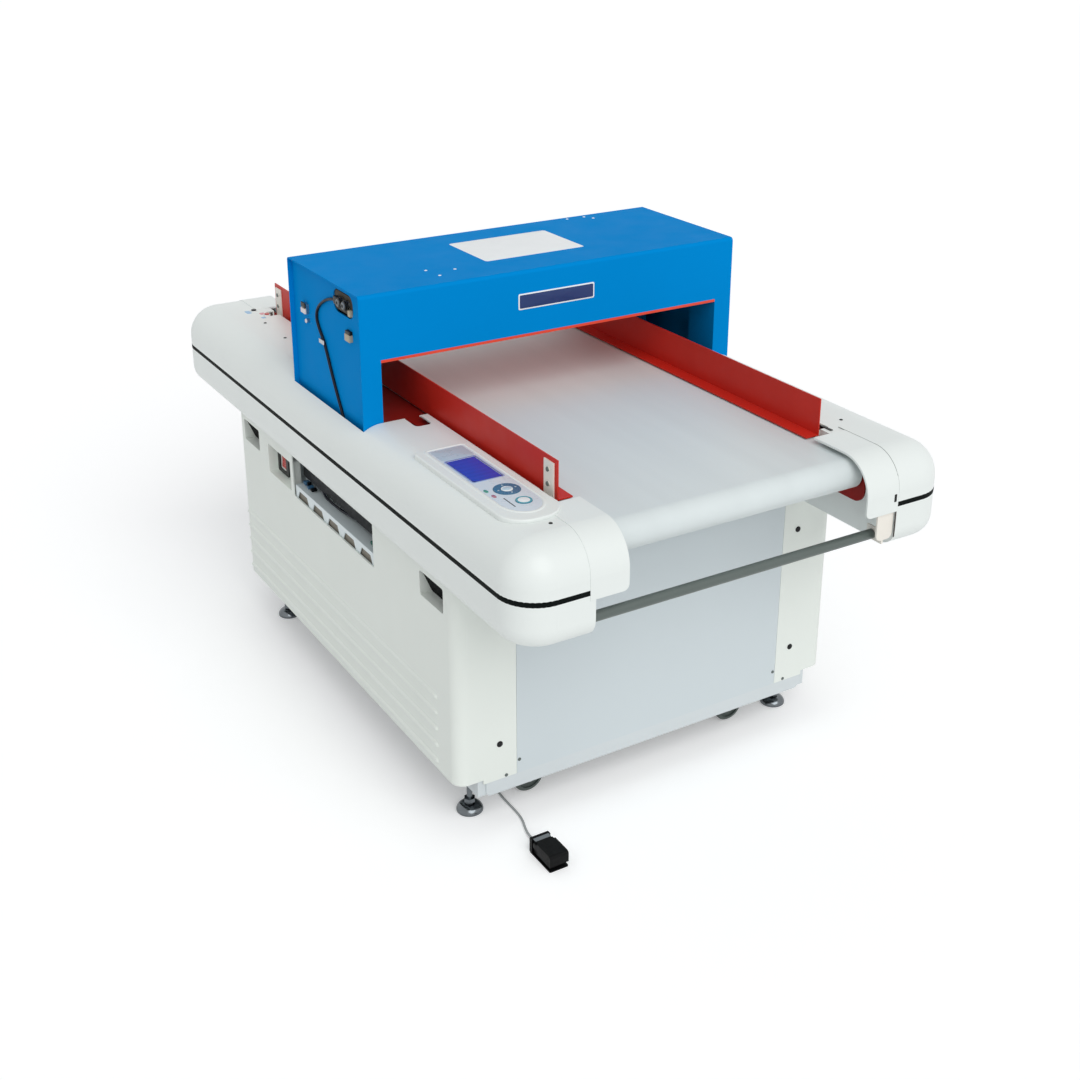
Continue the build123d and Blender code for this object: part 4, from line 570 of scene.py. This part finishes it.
class DETECTOR_OT_keypad(bpy.types.Operator):
    """Lays the printed keypad round the window and the keys"""
    bl_idname = "detector.keypad"
    bl_label = "Keypad"

    def execute(self, context):
        skin = finish("polyester_keypad_pale_blue", "#D5E0E8", 0.3, 3, 0.006, mottle=0.02, mottle_mm=40)
        field = finish("polyester_keypad_grey_blue", "#B9C8D4", 0.3, 3, 0.006, mottle=0.03, mottle_mm=40)
        x, y, oval = (-413.8, -337.6), (-704.0, -375.6), 52.0
        floor, top = KEYPAD_BASE + 0.02, KEYPAD_BASE + 0.35
        window = loop_rectangle((-405.7, -346.3), (-545.2, -437.8), 0.8)
        upper = loop_rectangle(x, (-574.0, y[1]), 5.0, round_low=0.4)
        middle = loop_rectangle(x, (-631.0, -574.0), 0.4)
        lower = loop_pad(x, (y[0], -631.0), 0.4, oval, count=96)
        for name, inner, outer in (("keypad_window_field", window, upper),
                                   ("keypad_dial_field", loop_circle(RING_KEY, 25.7), middle),
                                   ("keypad_start_field", loop_circle(START_KEY, 15.7), lower)):
            grid_piece(name, between(inner, outer, floor, top), skin, loop_u=True, loop_v=True, smooth=False)
        top_plate("keypad_upper_field", (x[0] + 3.5, x[1] - 3.5), (-432.0, y[1] - 4.0), top, 0.08, field,
                  2.5, 0.05)
        # A raised rim runs round the keypad: its height follows a sine from the inner line to the outer one.
        t = np.linspace(0, 1, 11)
        height = KEYPAD_BASE + 1.3 * np.sin(np.pi * t) ** 0.6
        rows = [np.column_stack([loop_pad(x, y, 5.0, oval, grow=0.2 + 6.6 * part), np.full(160, z)])
                for part, z in zip(t, height)]
        grid_piece("keypad_rim", np.stack(rows) * MM, MATERIALS["arm_abs"], loop_u=True, loop_v=True)
        # Two signal lamps and one dark line, printed or moulded just proud of the keypad
        green = finish("acrylic_lamp_green", "#3F9A7E", 0.22, 2, 0.01, mottle=0.1, mottle_mm=6, coat=0.4)
        pink = finish("acrylic_lamp_red", "#B46A76", 0.22, 2, 0.01, mottle=0.1, mottle_mm=6, coat=0.4)
        ink = finish("printed_ink_dark", "#3E4A50", 0.4, 2, 0.01, mottle=0.05)
        for name, spot, paint in (("lamp_green", (-407.4, -592.8), green),
                                  ("lamp_red", (-405.7, -619.0), pink)):
            drawn = (loop_circle(spot, 1.0) - np.array(spot)) * np.array([3.8, 6.8]) + np.array(spot)
            grid_piece(name, plate(drawn, top, top + 0.7, 0.6), paint, loop_v=True)
        line = loop_rectangle((-396.2, -393.8), (-676.0, -634.0), 1.1)
        grid_piece("keypad_line", plate(line, top, top + 0.12, 0.1), ink, loop_v=True)
        # The window's dark edge and the pale blue line round it
        edge = finish("printed_ink_navy", "#2A2F7C", 0.35, 2, 0.01, mottle=0.05)
        halo = finish("printed_ink_blue", "#9DB4DE", 0.35, 2, 0.01, mottle=0.05)
        steps = [loop_rectangle((-405.9 - g, -346.1 + g), (-545.4 - g, -437.6 + g), 0.9 + g)
                 for g in (0, 1.4, 4.4)]
        for name, inner, outer, paint in (("window_edge", steps[0], steps[1], edge),
                                          ("window_halo", steps[1], steps[2], halo)):
            grid_piece(name, between(inner, outer, top, top + 0.12), paint, loop_u=True, loop_v=True,
                       smooth=False)
        # The start key's teal ring round a pale middle, and the ring key's pale middle and four arrow marks
        teal = finish("abs_cyan_teal", "#3FA3B4", 0.3, 2, 0.01, mottle=0.08, mottle_mm=8)
        pale_blue = finish("abs_pale_blue", "#BCD6E4", 0.3, 2, 0.01, mottle=0.05, mottle_mm=8)
        ring = between(loop_circle(START_KEY, 11.4), loop_circle(START_KEY, 14.8), KEY_TOP, KEY_TOP + 0.6,
                       0.3)
        grid_piece("start_ring", ring, teal, body="start_button", loop_u=True, loop_v=True)
        grid_piece("start_middle", plate(loop_circle(START_KEY, 11.2), KEY_TOP, KEY_TOP + 0.5, 0.4),
                   MATERIALS["button"], body="start_button", loop_v=True)
        drawn = loop_circle((0, 0), 1.0) * np.array([9.4, 7.0]) + np.array(RING_KEY)
        grid_piece("ring_middle", plate(drawn, KEY_TOP + 0.4, KEY_TOP + 1.0, 0.4), pale_blue,
                   body="centre_button", loop_v=True)
        marks = []
        for quarter in range(4):
            a = quarter * 0.5 * math.pi + np.array([-0.14, 0.0, 0.14, 0.0])
            r = np.array([15.6, 20.4, 15.6, 16.4])
            arrow = np.stack([RING_KEY[0] + r * np.cos(a), RING_KEY[1] + r * np.sin(a)], 1)
            marks.append(np.column_stack([arrow, np.full(4, KEY_TOP + 0.24)]) * MM)
        pale = finish("printed_ink_pale", "#DCE8EC", 0.4, 2, 0.01, mottle=0.03)
        whole_piece("ring_marks", np.vstack(marks), np.arange(16).reshape(4, 4), pale, body="nav_dial",
                    smooth=False)
        return {"FINISHED"}


class DETECTOR_OT_switch(bpy.types.Operator):
    """Frames the power switch in its sunk tray"""
    bl_idname = "detector.switch"
    bl_label = "Switch frame"

    def execute(self, context):
        # Loops are drawn as the machine's left shows them, so their first number is minus Y.
        inner = loop_rectangle((-340.6, -303.4), (464.4, 509.6), 1.5)
        outer = loop_rectangle((-353.0, -289.0), (456.0, 516.0), 4.0)
        ring = tipped(between(inner, outer, 0.0, 3.2, 1.4), (-437.0, 0, 0), (0, -1, 0), (0, 0, 1))
        grid_piece("switch_bezel", ring, MATERIALS["key_black"], loop_u=True, loop_v=True)
        return {"FINISHED"}


SLOT_WIRE = [(-430.0, y, z) for y, z in
             [(122, 494), (112, 488), (98, 478.5), (74, 477.6), (40, 478.2), (8, 480.5), (-30, 486),
              (-66, 490), (-96, 494)]]


class DETECTOR_OT_slot_gear(bpy.types.Operator):
    """Fills the cable slot with a near-black band along its upper edge, a wire and plugs, backs the arches,
    and backs the hand holes with painted shade
    """
    bl_idname = "detector.slot_gear"
    bl_label = "Slot and hand holes"

    def execute(self, context):
        dark = finish("pvc_black_plugs_and_dark_band", "#080D12", 0.5, 2, 0.02, mottle=0.1, mottle_mm=30, shine=0.12)
        blue = finish("nylon_plug_blue", "#3F6F94", 0.4, 2, 0.02, mottle=0.08, mottle_mm=10)
        mint = finish("nylon_terminal_green", "#2F6B5C", 0.42, 2, 0.02, mottle=0.08, mottle_mm=8)
        tan = finish("pressed_board_tan", "#8A8478", 0.6, 1.2, 0.05, mottle=0.14, mottle_mm=16)
        hollow = finish("hand_hole_painted_shade_black", "#070808", 0.7, 1.6, 0.03, mottle=0.1, mottle_mm=20,
                        shine=0.04)
        # A near-black bar along the slot's upper edge, which shows as the dark band there.
        side_plate("slot_dark_band", (-203.0, 208.0), (493.0, 531.0), -401.0, 35.0, dark, 3.0, 2.0)
        route_curve("slot_wire_loop", SLOT_WIRE, 2.6, MATERIALS["cable"])
        for name, y, z, depth, paint in (("plug_blue_a", (186, 199), (476, 484), 11, blue),
                                         ("plug_blue_b", (165, 174), (475, 481), 13, blue),
                                         ("plug_dark_a", (177, 182), (475, 486), 9, dark),
                                         ("plug_dark_b", (146, 158), (475.5, 481), 12, dark),
                                         ("terminal_green_a", (-166, -158), (475, 482), 12, mint),
                                         ("terminal_green_b", (-178, -171), (475, 480), 14, mint),
                                         ("terminal_dark", (-192, -182), (475, 486), 12, dark)):
            side_plate(name, y, z, -430.0, depth, paint, 1.2, 1.0)
        side_plate("arch_backing", (-203.0, 208.0), (437.0, 469.0), -449.0, 2.4, tan, 1.0, 0.6)
        # Each hand hole is backed by a near-black plate, painted as the shade in its hollow; it leans back
        # from its upper edge, so that its floor shows in front of it.
        lean = math.atan2(21.0, 50.0)
        for side, facing in (("left", -1), ("right", 1)):
            for end, middle in (("front", -467.0), ("back", 467.0)):
                loop = loop_rectangle((middle - 44.5, middle + 44.5), (-53.0, 0.0), 2.0, count=64)
                if facing < 0:
                    loop = loop[::-1] * [-1, 1]
                upwards = (facing * math.sin(lean), 0, math.cos(lean))
                top_edge = (facing * 455.6, 0, 533.2)
                back = tipped(plate(loop, -0.8, 0.0, 0.4), top_edge, (0, facing, 0), upwards)
                grid_piece(f"hand_hole_{end}_{side}", back, hollow, loop_v=True)
        return {"FINISHED"}


class DETECTOR_OT_head_end(bpy.types.Operator):
    """Dresses the plugs, pin and clip on the head's end"""
    bl_idname = "detector.head_end"
    bl_label = "Head end plugs"

    def execute(self, context):
        dark = MATERIALS["key_black"]
        tan = finish("nylon_block_tan", "#B9AC93", 0.45, 2, 0.02, mottle=0.12, mottle_mm=10)
        lip = finish("nylon_lip_white", "#E6DCDC", 0.4, 2, 0.01, mottle=0.06, mottle_mm=8)
        # Plug nuts round both pins: the profile is a washer, a nut and a sleeve.
        nut = [(0, -1), (11.4, -1), (11.4, 1.2), (10.2, 1.8), (10.2, 5.0), (8.6, 5.8), (6.2, 5.8), (6.2, 7.6),
               (3.4, 8.4), (0, 8.4)]
        points, faces = turned([(-447.0, -106, 974), (-447.0, -80, 974)], [(-1, 0, 0)] * 2, nut, sides=36)
        whole_piece("plug_nuts", points, faces, dark)
        collar = [(0, 0), (7.4, 0), (7.4, 2.6), (6.4, 3.2), (0, 3.2)]
        points, faces = turned([(-452.2, -106, 974), (-452.2, -80, 974)], [(-1, 0, 0)] * 2, collar, sides=36)
        whole_piece("plug_collars", points, faces, MATERIALS["casting"])
        board = finish("pressed_board_dark", "#4B453A", 0.6, 1.2, 0.05, mottle=0.16, mottle_mm=14,
                       shine=0.2)
        side_plate("plug_bridge", (-130.0, -40.0), (953.0, 993.0), -440.0, 2.0, board, 3.0, 0.6)
        for name, y, z, x, depth, paint in (("plug_block_dark", (-73, -56), (967, 983), -443.5, 9, dark),
                                            ("plug_block_tan", (-129, -117), (955, 968), -443.5, 6, tan),
                                            ("socket_mouth", (97, 119), (916, 927), -450.4, 2.2, dark),
                                            ("socket_lip", (96, 120), (903.5, 914.5), -450.4, 2.6, lip),
                                            ("clip_dot", (9, 19), (860, 869), -450.2, 1.6, lip),
                                            ("end_block", (-125, -101), (902, 917), -444.2, 7.5, tan),
                                            ("end_block_mouth", (-125, -102), (917, 924), -444.2, 6.5, dark)):
            side_plate(name, y, z, x, depth, paint, 1.4, 1.0)
        points, faces = turned([(-450.4, 98, 889)], [(-1, 0, 0)], screw_profile(4.6, 2.4))
        whole_piece("end_pin", points, faces, lip)
        return {"FINISHED"}


class DETECTOR_OT_plates(bpy.types.Operator):
    """Sets the bare name plate and the bare notice plate on the head"""
    bl_idname = "detector.plates"
    bl_label = "Bare plates"

    def execute(self, context):
        white = finish("vinyl_label_white", "#EEF1F2", 0.45, 4, 0.01, mottle=0.03, mottle_mm=50)
        notice = loop_rectangle((-114.0, 129.0), (-76.0, 93.0), 5.0, count=120)
        grid_piece("notice_plate", plate(notice, HEAD_TOP, HEAD_TOP + 0.35, 0.25), white, loop_v=True)
        border = finish("anodised_plate_white", "#F4F6F8", 0.35, 3, 0.01, mottle=0.03)
        navy = finish("anodised_plate_navy", "#12306A", 0.35, 3, 0.01, mottle=0.06, mottle_mm=30)
        outline = loop_rectangle((-97.0, 88.0), (928.0, 962.0), 2.0, count=120)
        field = loop_rectangle((-94.2, 85.2), (930.8, 959.2), 1.0, count=120)
        place, across, up = (0, HEAD_FRONT, 0), (1, 0, 0), (0, 0, 1)
        grid_piece("name_plate_border", tipped(plate(outline, 0.0, 0.8, 0.4), place, across, up), border,
                   loop_v=True)
        grid_piece("name_plate_field", tipped(plate(field, 0.75, 1.0, 0.2), place, across, up), navy,
                   loop_v=True)
        return {"FINISHED"}


def arm_edge(count=320):
    """The right arm's outline in plan, from its front end plate round both corners to the back one.

    Two straight ends, two quarter circles and the long side, with points spread evenly.
    """
    radius, side, end = 74.5, 487.5, 845.0
    a = np.linspace(-0.5 * np.pi, 0.0, 21)
    corner = np.stack([side - radius + radius * np.cos(a), radius - end + radius * np.sin(a)], 1)
    outline = np.vstack([[[PLATE_EDGE, -end]], corner, corner[::-1] * [1, -1], [[PLATE_EDGE, end]]])
    length = np.concatenate([[0], np.cumsum(np.linalg.norm(np.diff(outline, axis=0), axis=1))])
    at = np.linspace(0, length[-1], count)
    return np.stack([np.interp(at, length, outline[:, 0]), np.interp(at, length, outline[:, 1])], 1)


class DETECTOR_OT_plate_seams(bpy.types.Operator):
    """Draws the shadow line where the right end plates lap over the arm"""
    bl_idname = "detector.plate_seams"
    bl_label = "End plate seams"

    def execute(self, context):
        paint = finish("seam_shadow_grey", "#9EA5A1", 0.6, 1.2, 0.01, mottle=0.1, mottle_mm=20, shine=0.2)
        # The line runs level, turns down a quarter circle as the arm does, and ends at the strip.
        radius, nose, top = 72.6, -845.6, 745.2
        a = np.linspace(0.5 * np.pi, np.pi, 25)
        bend = np.stack([nose + radius + radius * np.cos(a), top - radius + radius * np.sin(a)], 1)
        path = np.vstack([[[-668.0, top]], bend, [[nose, 655.0]]])
        out = np.vstack([[[0, 1]], np.stack([np.cos(a), np.sin(a)], 1), [[-1, 0]]])
        half, proud = 0.65, 0.25
        rows = [(np.full(len(path), PLATE_EDGE + side * half), path + out * lift)
                for side, lift in ((-1, -0.6), (-1, proud), (1, proud), (1, -0.6))]
        line = np.stack([np.column_stack([x, yz]) for x, yz in rows], 1)
        ends = [np.broadcast_to(row.mean(0), row.shape)[None] for row in (line[0], line[-1])]
        line = np.concatenate([ends[0], line, ends[1]]) * MM
        for end, facing in (("front", 1), ("back", -1)):
            grid_piece(f"plate_seam_{end}", line * [1, facing, 1], paint, loop_v=True, smooth=False)
        return {"FINISHED"}


class DETECTOR_OT_strip_beads(bpy.types.Operator):
    """Fits the rubber strips' outer beads, which cover the edges of the arm shells"""
    bl_idname = "detector.strip_beads"
    bl_label = "Strip beads"

    def execute(self, context):
        # Section: depth = -1.4 + 1.75 cos t outwards, height = 6.2 sin t with its corners squared off.
        edge = arm_edge()
        along = np.gradient(edge, axis=0)
        along /= np.linalg.norm(along, axis=1, keepdims=True)
        outwards = np.stack([along[:, 1], -along[:, 0]], 1)
        t = np.linspace(0, 2 * np.pi, 20, endpoint=False)
        depth = -1.4 + 1.75 * np.sign(np.cos(t)) * np.abs(np.cos(t)) ** 0.6
        height = STRIP_HEIGHT + 6.2 * np.sign(np.sin(t)) * np.abs(np.sin(t)) ** 0.6
        flat = edge[:, None, :] + depth[None, :, None] * outwards[:, None, :]
        bead = np.concatenate([flat, np.broadcast_to(height[None, :, None], flat.shape[:2] + (1,))], 2)
        ends = [np.broadcast_to(row.mean(0), row.shape)[None] for row in (bead[0], bead[-1])]
        bead = np.concatenate([ends[0], bead, ends[1]]) * MM
        for side, facing in (("right", 1), ("left", -1)):
            grid_piece(f"strip_bead_{side}", bead * [facing, 1, 1], MATERIALS["strip"], loop_v=True)
        return {"FINISHED"}


def screw_profile(radius, height):
    """Half section of a domed head: a short wall, then a quarter of an ellipse to the middle."""
    t = np.linspace(0, 0.5 * np.pi, 7)
    dome = [(radius * math.cos(a), 0.35 * height + 0.65 * height * math.sin(a)) for a in t]
    return [(0.0, -0.2), (radius, -0.2)] + dome[:-1] + [(0.0, height)]


class DETECTOR_OT_screws(bpy.types.Operator):
    """Sets the screws and plugs of the covers"""
    bl_idname = "detector.screws"
    bl_label = "Screws and plugs"

    def execute(self, context):
        _, sizes, _ = settings()
        r = sizes.screw / MM / 2
        up, front, back = (0, 0, 1), (0, -1, 0), (0, 1, 0)
        # The head screws take the buttons' white, which paints their glints on as painted highlight.
        tops = [(x, y, HEAD_TOP) for x, y in
                ((-254, -74), (-247, -122), (-198, -95), (231, 157), (276, 155), (288, 134))]
        points, faces = turned(tops, [up] * 6, screw_profile(r * 0.8, 1.2))
        whole_piece("head_screws", points, faces, MATERIALS["button"])
        arms = [(x, y, ARM_TOP) for x, y in ((-371, -753), (382, -639), (-368, 571), (-371, 437), (371, 753))]
        points, faces = turned(arms, [up] * 5, screw_profile(r * 0.9, 1.6))
        whole_piece("arm_screws", points, faces, MATERIALS["key_black"])
        spots = [(sx * 364, sy * PANEL_FACE, z) for sx in (-1, 1) for sy in (-1, 1) for z in (189, 472)]
        ways = [front if s[1] < 0 else back for s in spots]
        points, faces = turned(spots, ways, screw_profile(6.5, 2.2))
        whole_piece("cover_plugs", points, faces, MATERIALS["rubber"])
        spots = [(sx * x, sy * PANEL_FACE, z)
                 for sx in (-1, 1) for sy in (-1, 1) for x, z in ((320, 139), (350, 113))]
        ways = [front if s[1] < 0 else back for s in spots]
        points, faces = turned(spots, ways, screw_profile(3.6, 1.8))
        whole_piece("panel_screws", points, faces, MATERIALS["bar"])
        spots = [(sx * 307.3, sy * 638.0, z) for sx in (-1, 1) for sy in (-1, 1) for z in (788, 760)]
        ways = [(1 if s[0] > 0 else -1, 0, 0) for s in spots]
        points, faces = turned(spots, ways, screw_profile(4.6, 2.4))
        whole_piece("bracket_screws", points, faces, MATERIALS["bar"])
        # Black plates painted as the shade in a slot in the right front end plate and in one beside the right
        # rail, a dark plate painted as the shadow in the gap beside the strap, and marks by the rear keys
        for name, x, z, y, paint in (("end_plate_slot", (338.2, 344.4), (653.0, 669.0), -846.2, "key_black"),
                                     ("strap_shadow_gap", (344.6, 347.8), (577.0, 655.0), -845.0, "gap")):
            drawn = loop_rectangle(x, z, 1.4, count=64)
            grid_piece(name, tipped(plate(drawn, 0.0, 0.3, 0.2), (0, y, 0), (1, 0, 0), (0, 0, 1)),
                       MATERIALS[paint], loop_v=True)
        top_plate("rail_side_slot", (322.0, 329.0), (-676.0, -645.0), 745.2, 0.4, MATERIALS["key_black"], 2.0)
        print_blue = finish("printed_key_mark_blue", "#9CC3E4", 0.4, 2, 0.006, mottle=0.05, mottle_mm=8)
        print_rose = finish("printed_key_mark_rose", "#D9909A", 0.4, 2, 0.006, mottle=0.05, mottle_mm=8)
        for name, x, y, paint in (("key_mark_blue_a", (-378, -366), (664, 688), print_blue),
                                  ("key_mark_blue_b", (-360, -350), (608, 622), print_blue),
                                  ("key_mark_rose", (-352, -340), (640, 656), print_rose)):
            top_plate(name, x, y, ARM_TOP, 0.2, paint, 3.0, 0.1)
        top_plate("pedal_strip", (-354.5, -319.5), (-674.5, -664.5), 33.0, 0.5, MATERIALS["casting"], 1.5)
        return {"FINISHED"}


# Where the photograph was taken from, fitted to its straight edges, and where the lamp stands, in metres
CAMERA_PLACE = (-1.55503, -2.67845, 1.80630)
CAMERA_YAW = -0.5433155
CAMERA_PITCH = 0.3759225
CAMERA_SHIFT = -0.10185
LAMP_PLACE = (-0.35, -2.42, 2.28)


class DETECTOR_OT_stage(bpy.types.Operator):
    """Sets the floor, the soft light and the camera"""
    bl_idname = "detector.stage"
    bl_label = "Studio"

    def execute(self, context):
        colours, _, studio = settings()
        scene = context.scene
        paper, tree, shader, place = new_material("studio_paper_white")
        shader.inputs["Base Color"].default_value = linear(colours.floor)
        shader.inputs["Roughness"].default_value = 0.9
        shader.inputs["Specular IOR Level"].default_value = 0.0
        # The camera sees the paper a little brighter than it is lit, so that it stands as white.
        sight = add(tree, "ShaderNodeLightPath")
        glow = add(tree, "ShaderNodeEmission", {"Color": (1, 1, 1, 1), "Strength": studio.glow})
        none = add(tree, "ShaderNodeEmission", {"Color": (1, 1, 1, 1), "Strength": 0.0})
        seen = add(tree, "ShaderNodeMath", {"operation": "MAXIMUM"},
                   {0: sight.outputs["Is Camera Ray"], 1: sight.outputs["Is Glossy Ray"]})
        shown = add(tree, "ShaderNodeMixShader", None,
                    {0: seen.outputs[0], 1: none.outputs[0], 2: glow.outputs[0]})
        both = add(tree, "ShaderNodeAddShader", None, {0: shader.outputs[0], 1: shown.outputs[0]})
        surface = next(node for node in tree.nodes if node.type == "OUTPUT_MATERIAL")
        tree.links.new(both.outputs[0], surface.inputs["Surface"])
        side = 60.0
        u = np.linspace(-side, side, 9)
        gx, gy = np.meshgrid(u, u)
        points = np.stack([gx, gy, np.zeros_like(gx)], -1).reshape(-1, 3)
        mesh = bpy.data.meshes.new("studio_floor")
        step = np.arange(81).reshape(9, 9)
        quads = np.stack([step[:-1, :-1], step[:-1, 1:], step[1:, 1:], step[1:, :-1]], -1).reshape(-1, 4)
        mesh.from_pydata(points.tolist(), [], quads.tolist())
        mesh.materials.append(paper)
        floor = bpy.data.objects.new("studio_floor", mesh)
        scene.collection.objects.link(floor)
        world = bpy.data.worlds.new("soft_studio")
        scene.world = world
        world.use_nodes = True
        tree = world.node_tree
        tree.nodes.clear()
        ray = add(tree, "ShaderNodeLightPath")
        seen = add(tree, "ShaderNodeMath", {"operation": "MAXIMUM"},
                   {0: ray.outputs["Is Camera Ray"], 1: ray.outputs["Is Transmission Ray"]})
        seen = add(tree, "ShaderNodeMath", {"operation": "MAXIMUM"},
                   {0: seen.outputs[0], 1: ray.outputs["Is Glossy Ray"]})
        sky = add(tree, "ShaderNodeBackground", {"Color": linear("#F8FAFC"), "Strength": studio.sky})
        white = add(tree, "ShaderNodeBackground", {"Color": (1, 1, 1, 1), "Strength": 1.0})
        both = add(tree, "ShaderNodeMixShader", None,
                   {0: seen.outputs[0], 1: sky.outputs[0], 2: white.outputs[0]})
        add(tree, "ShaderNodeOutputWorld", None, {"Surface": both.outputs[0]})
        lamp = bpy.data.lights.new("wide_lamp", "SUN")
        lamp.energy = studio.lamp
        lamp.angle = studio.lamp_width
        light = bpy.data.objects.new("wide_lamp", lamp)
        scene.collection.objects.link(light)
        aim(light, LAMP_PLACE, (0, 0, 0))
        camera = bpy.data.objects.new("photo_camera", bpy.data.cameras.new("photo_camera"))
        scene.collection.objects.link(camera)
        camera.data.lens = studio.lens
        camera.data.sensor_width = 36.0
        camera.data.shift_y = CAMERA_SHIFT
        camera.data.clip_end = 100.0
        level = math.cos(CAMERA_PITCH)
        forward = np.array([-math.sin(CAMERA_YAW) * level, math.cos(CAMERA_YAW) * level,
                            -math.sin(CAMERA_PITCH)])
        aim(camera, CAMERA_PLACE, np.array(CAMERA_PLACE) + forward)
        scene.camera = camera
        scene.view_settings.view_transform = "Standard"
        return {"FINISHED"}


def aim(thing, place, target):
    """Puts a lamp or camera at a place, looking at a target, with its top upwards."""
    forward = np.asarray(target, float) - np.asarray(place, float)
    forward /= np.linalg.norm(forward)
    right = np.cross(forward, [0, 0, 1])
    right /= np.linalg.norm(right)
    up = np.cross(right, forward)
    turn = Matrix(np.column_stack([right, up, -forward]).tolist())
    thing.rotation_mode = "QUATERNION"
    thing.location = place
    thing.rotation_quaternion = turn.to_quaternion()


STEPS = ("stage", "finishes", "foot_lead", "head_cable", "plate_seams", "strip_beads", "keypad", "switch",
         "slot_gear", "head_end", "plates", "screws")


class DETECTOR_PT_panel(bpy.types.Panel):
    """Lists the pieces and their settings"""
    bl_idname = "DETECTOR_PT_panel"
    bl_label = "Metal detector"
    bl_space_type = "VIEW_3D"
    bl_region_type = "UI"
    bl_category = "Detector"

    def draw(self, context):
        for step in STEPS:
            self.layout.operator(f"detector.{step}")
        for group in settings():
            for name in group.__annotations__:
                self.layout.prop(group, name)


CLASSES = (DetectorColours, DetectorSizes, DetectorStudio, DETECTOR_OT_finishes, DETECTOR_OT_foot_lead,
           DETECTOR_OT_head_cable, DETECTOR_OT_keypad, DETECTOR_OT_switch, DETECTOR_OT_slot_gear,
           DETECTOR_OT_head_end, DETECTOR_OT_plate_seams, DETECTOR_OT_strip_beads, DETECTOR_OT_plates,
           DETECTOR_OT_screws, DETECTOR_OT_stage, DETECTOR_PT_panel)


def register():
    """Registers the classes and puts the settings on the scene."""
    for cls in CLASSES:
        bpy.utils.register_class(cls)
    bpy.types.Scene.detector_colours = bpy.props.PointerProperty(type=DetectorColours)
    bpy.types.Scene.detector_sizes = bpy.props.PointerProperty(type=DetectorSizes)
    bpy.types.Scene.detector_studio = bpy.props.PointerProperty(type=DetectorStudio)


def unregister():
    """Removes the settings and the classes."""
    del bpy.types.Scene.detector_studio
    del bpy.types.Scene.detector_sizes
    del bpy.types.Scene.detector_colours
    for cls in reversed(CLASSES):
        bpy.utils.unregister_class(cls)


def main():
    """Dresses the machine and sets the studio."""
    register()
    for step in STEPS:
        getattr(bpy.ops.detector, step)()


if __name__ == "__main__":
    main()
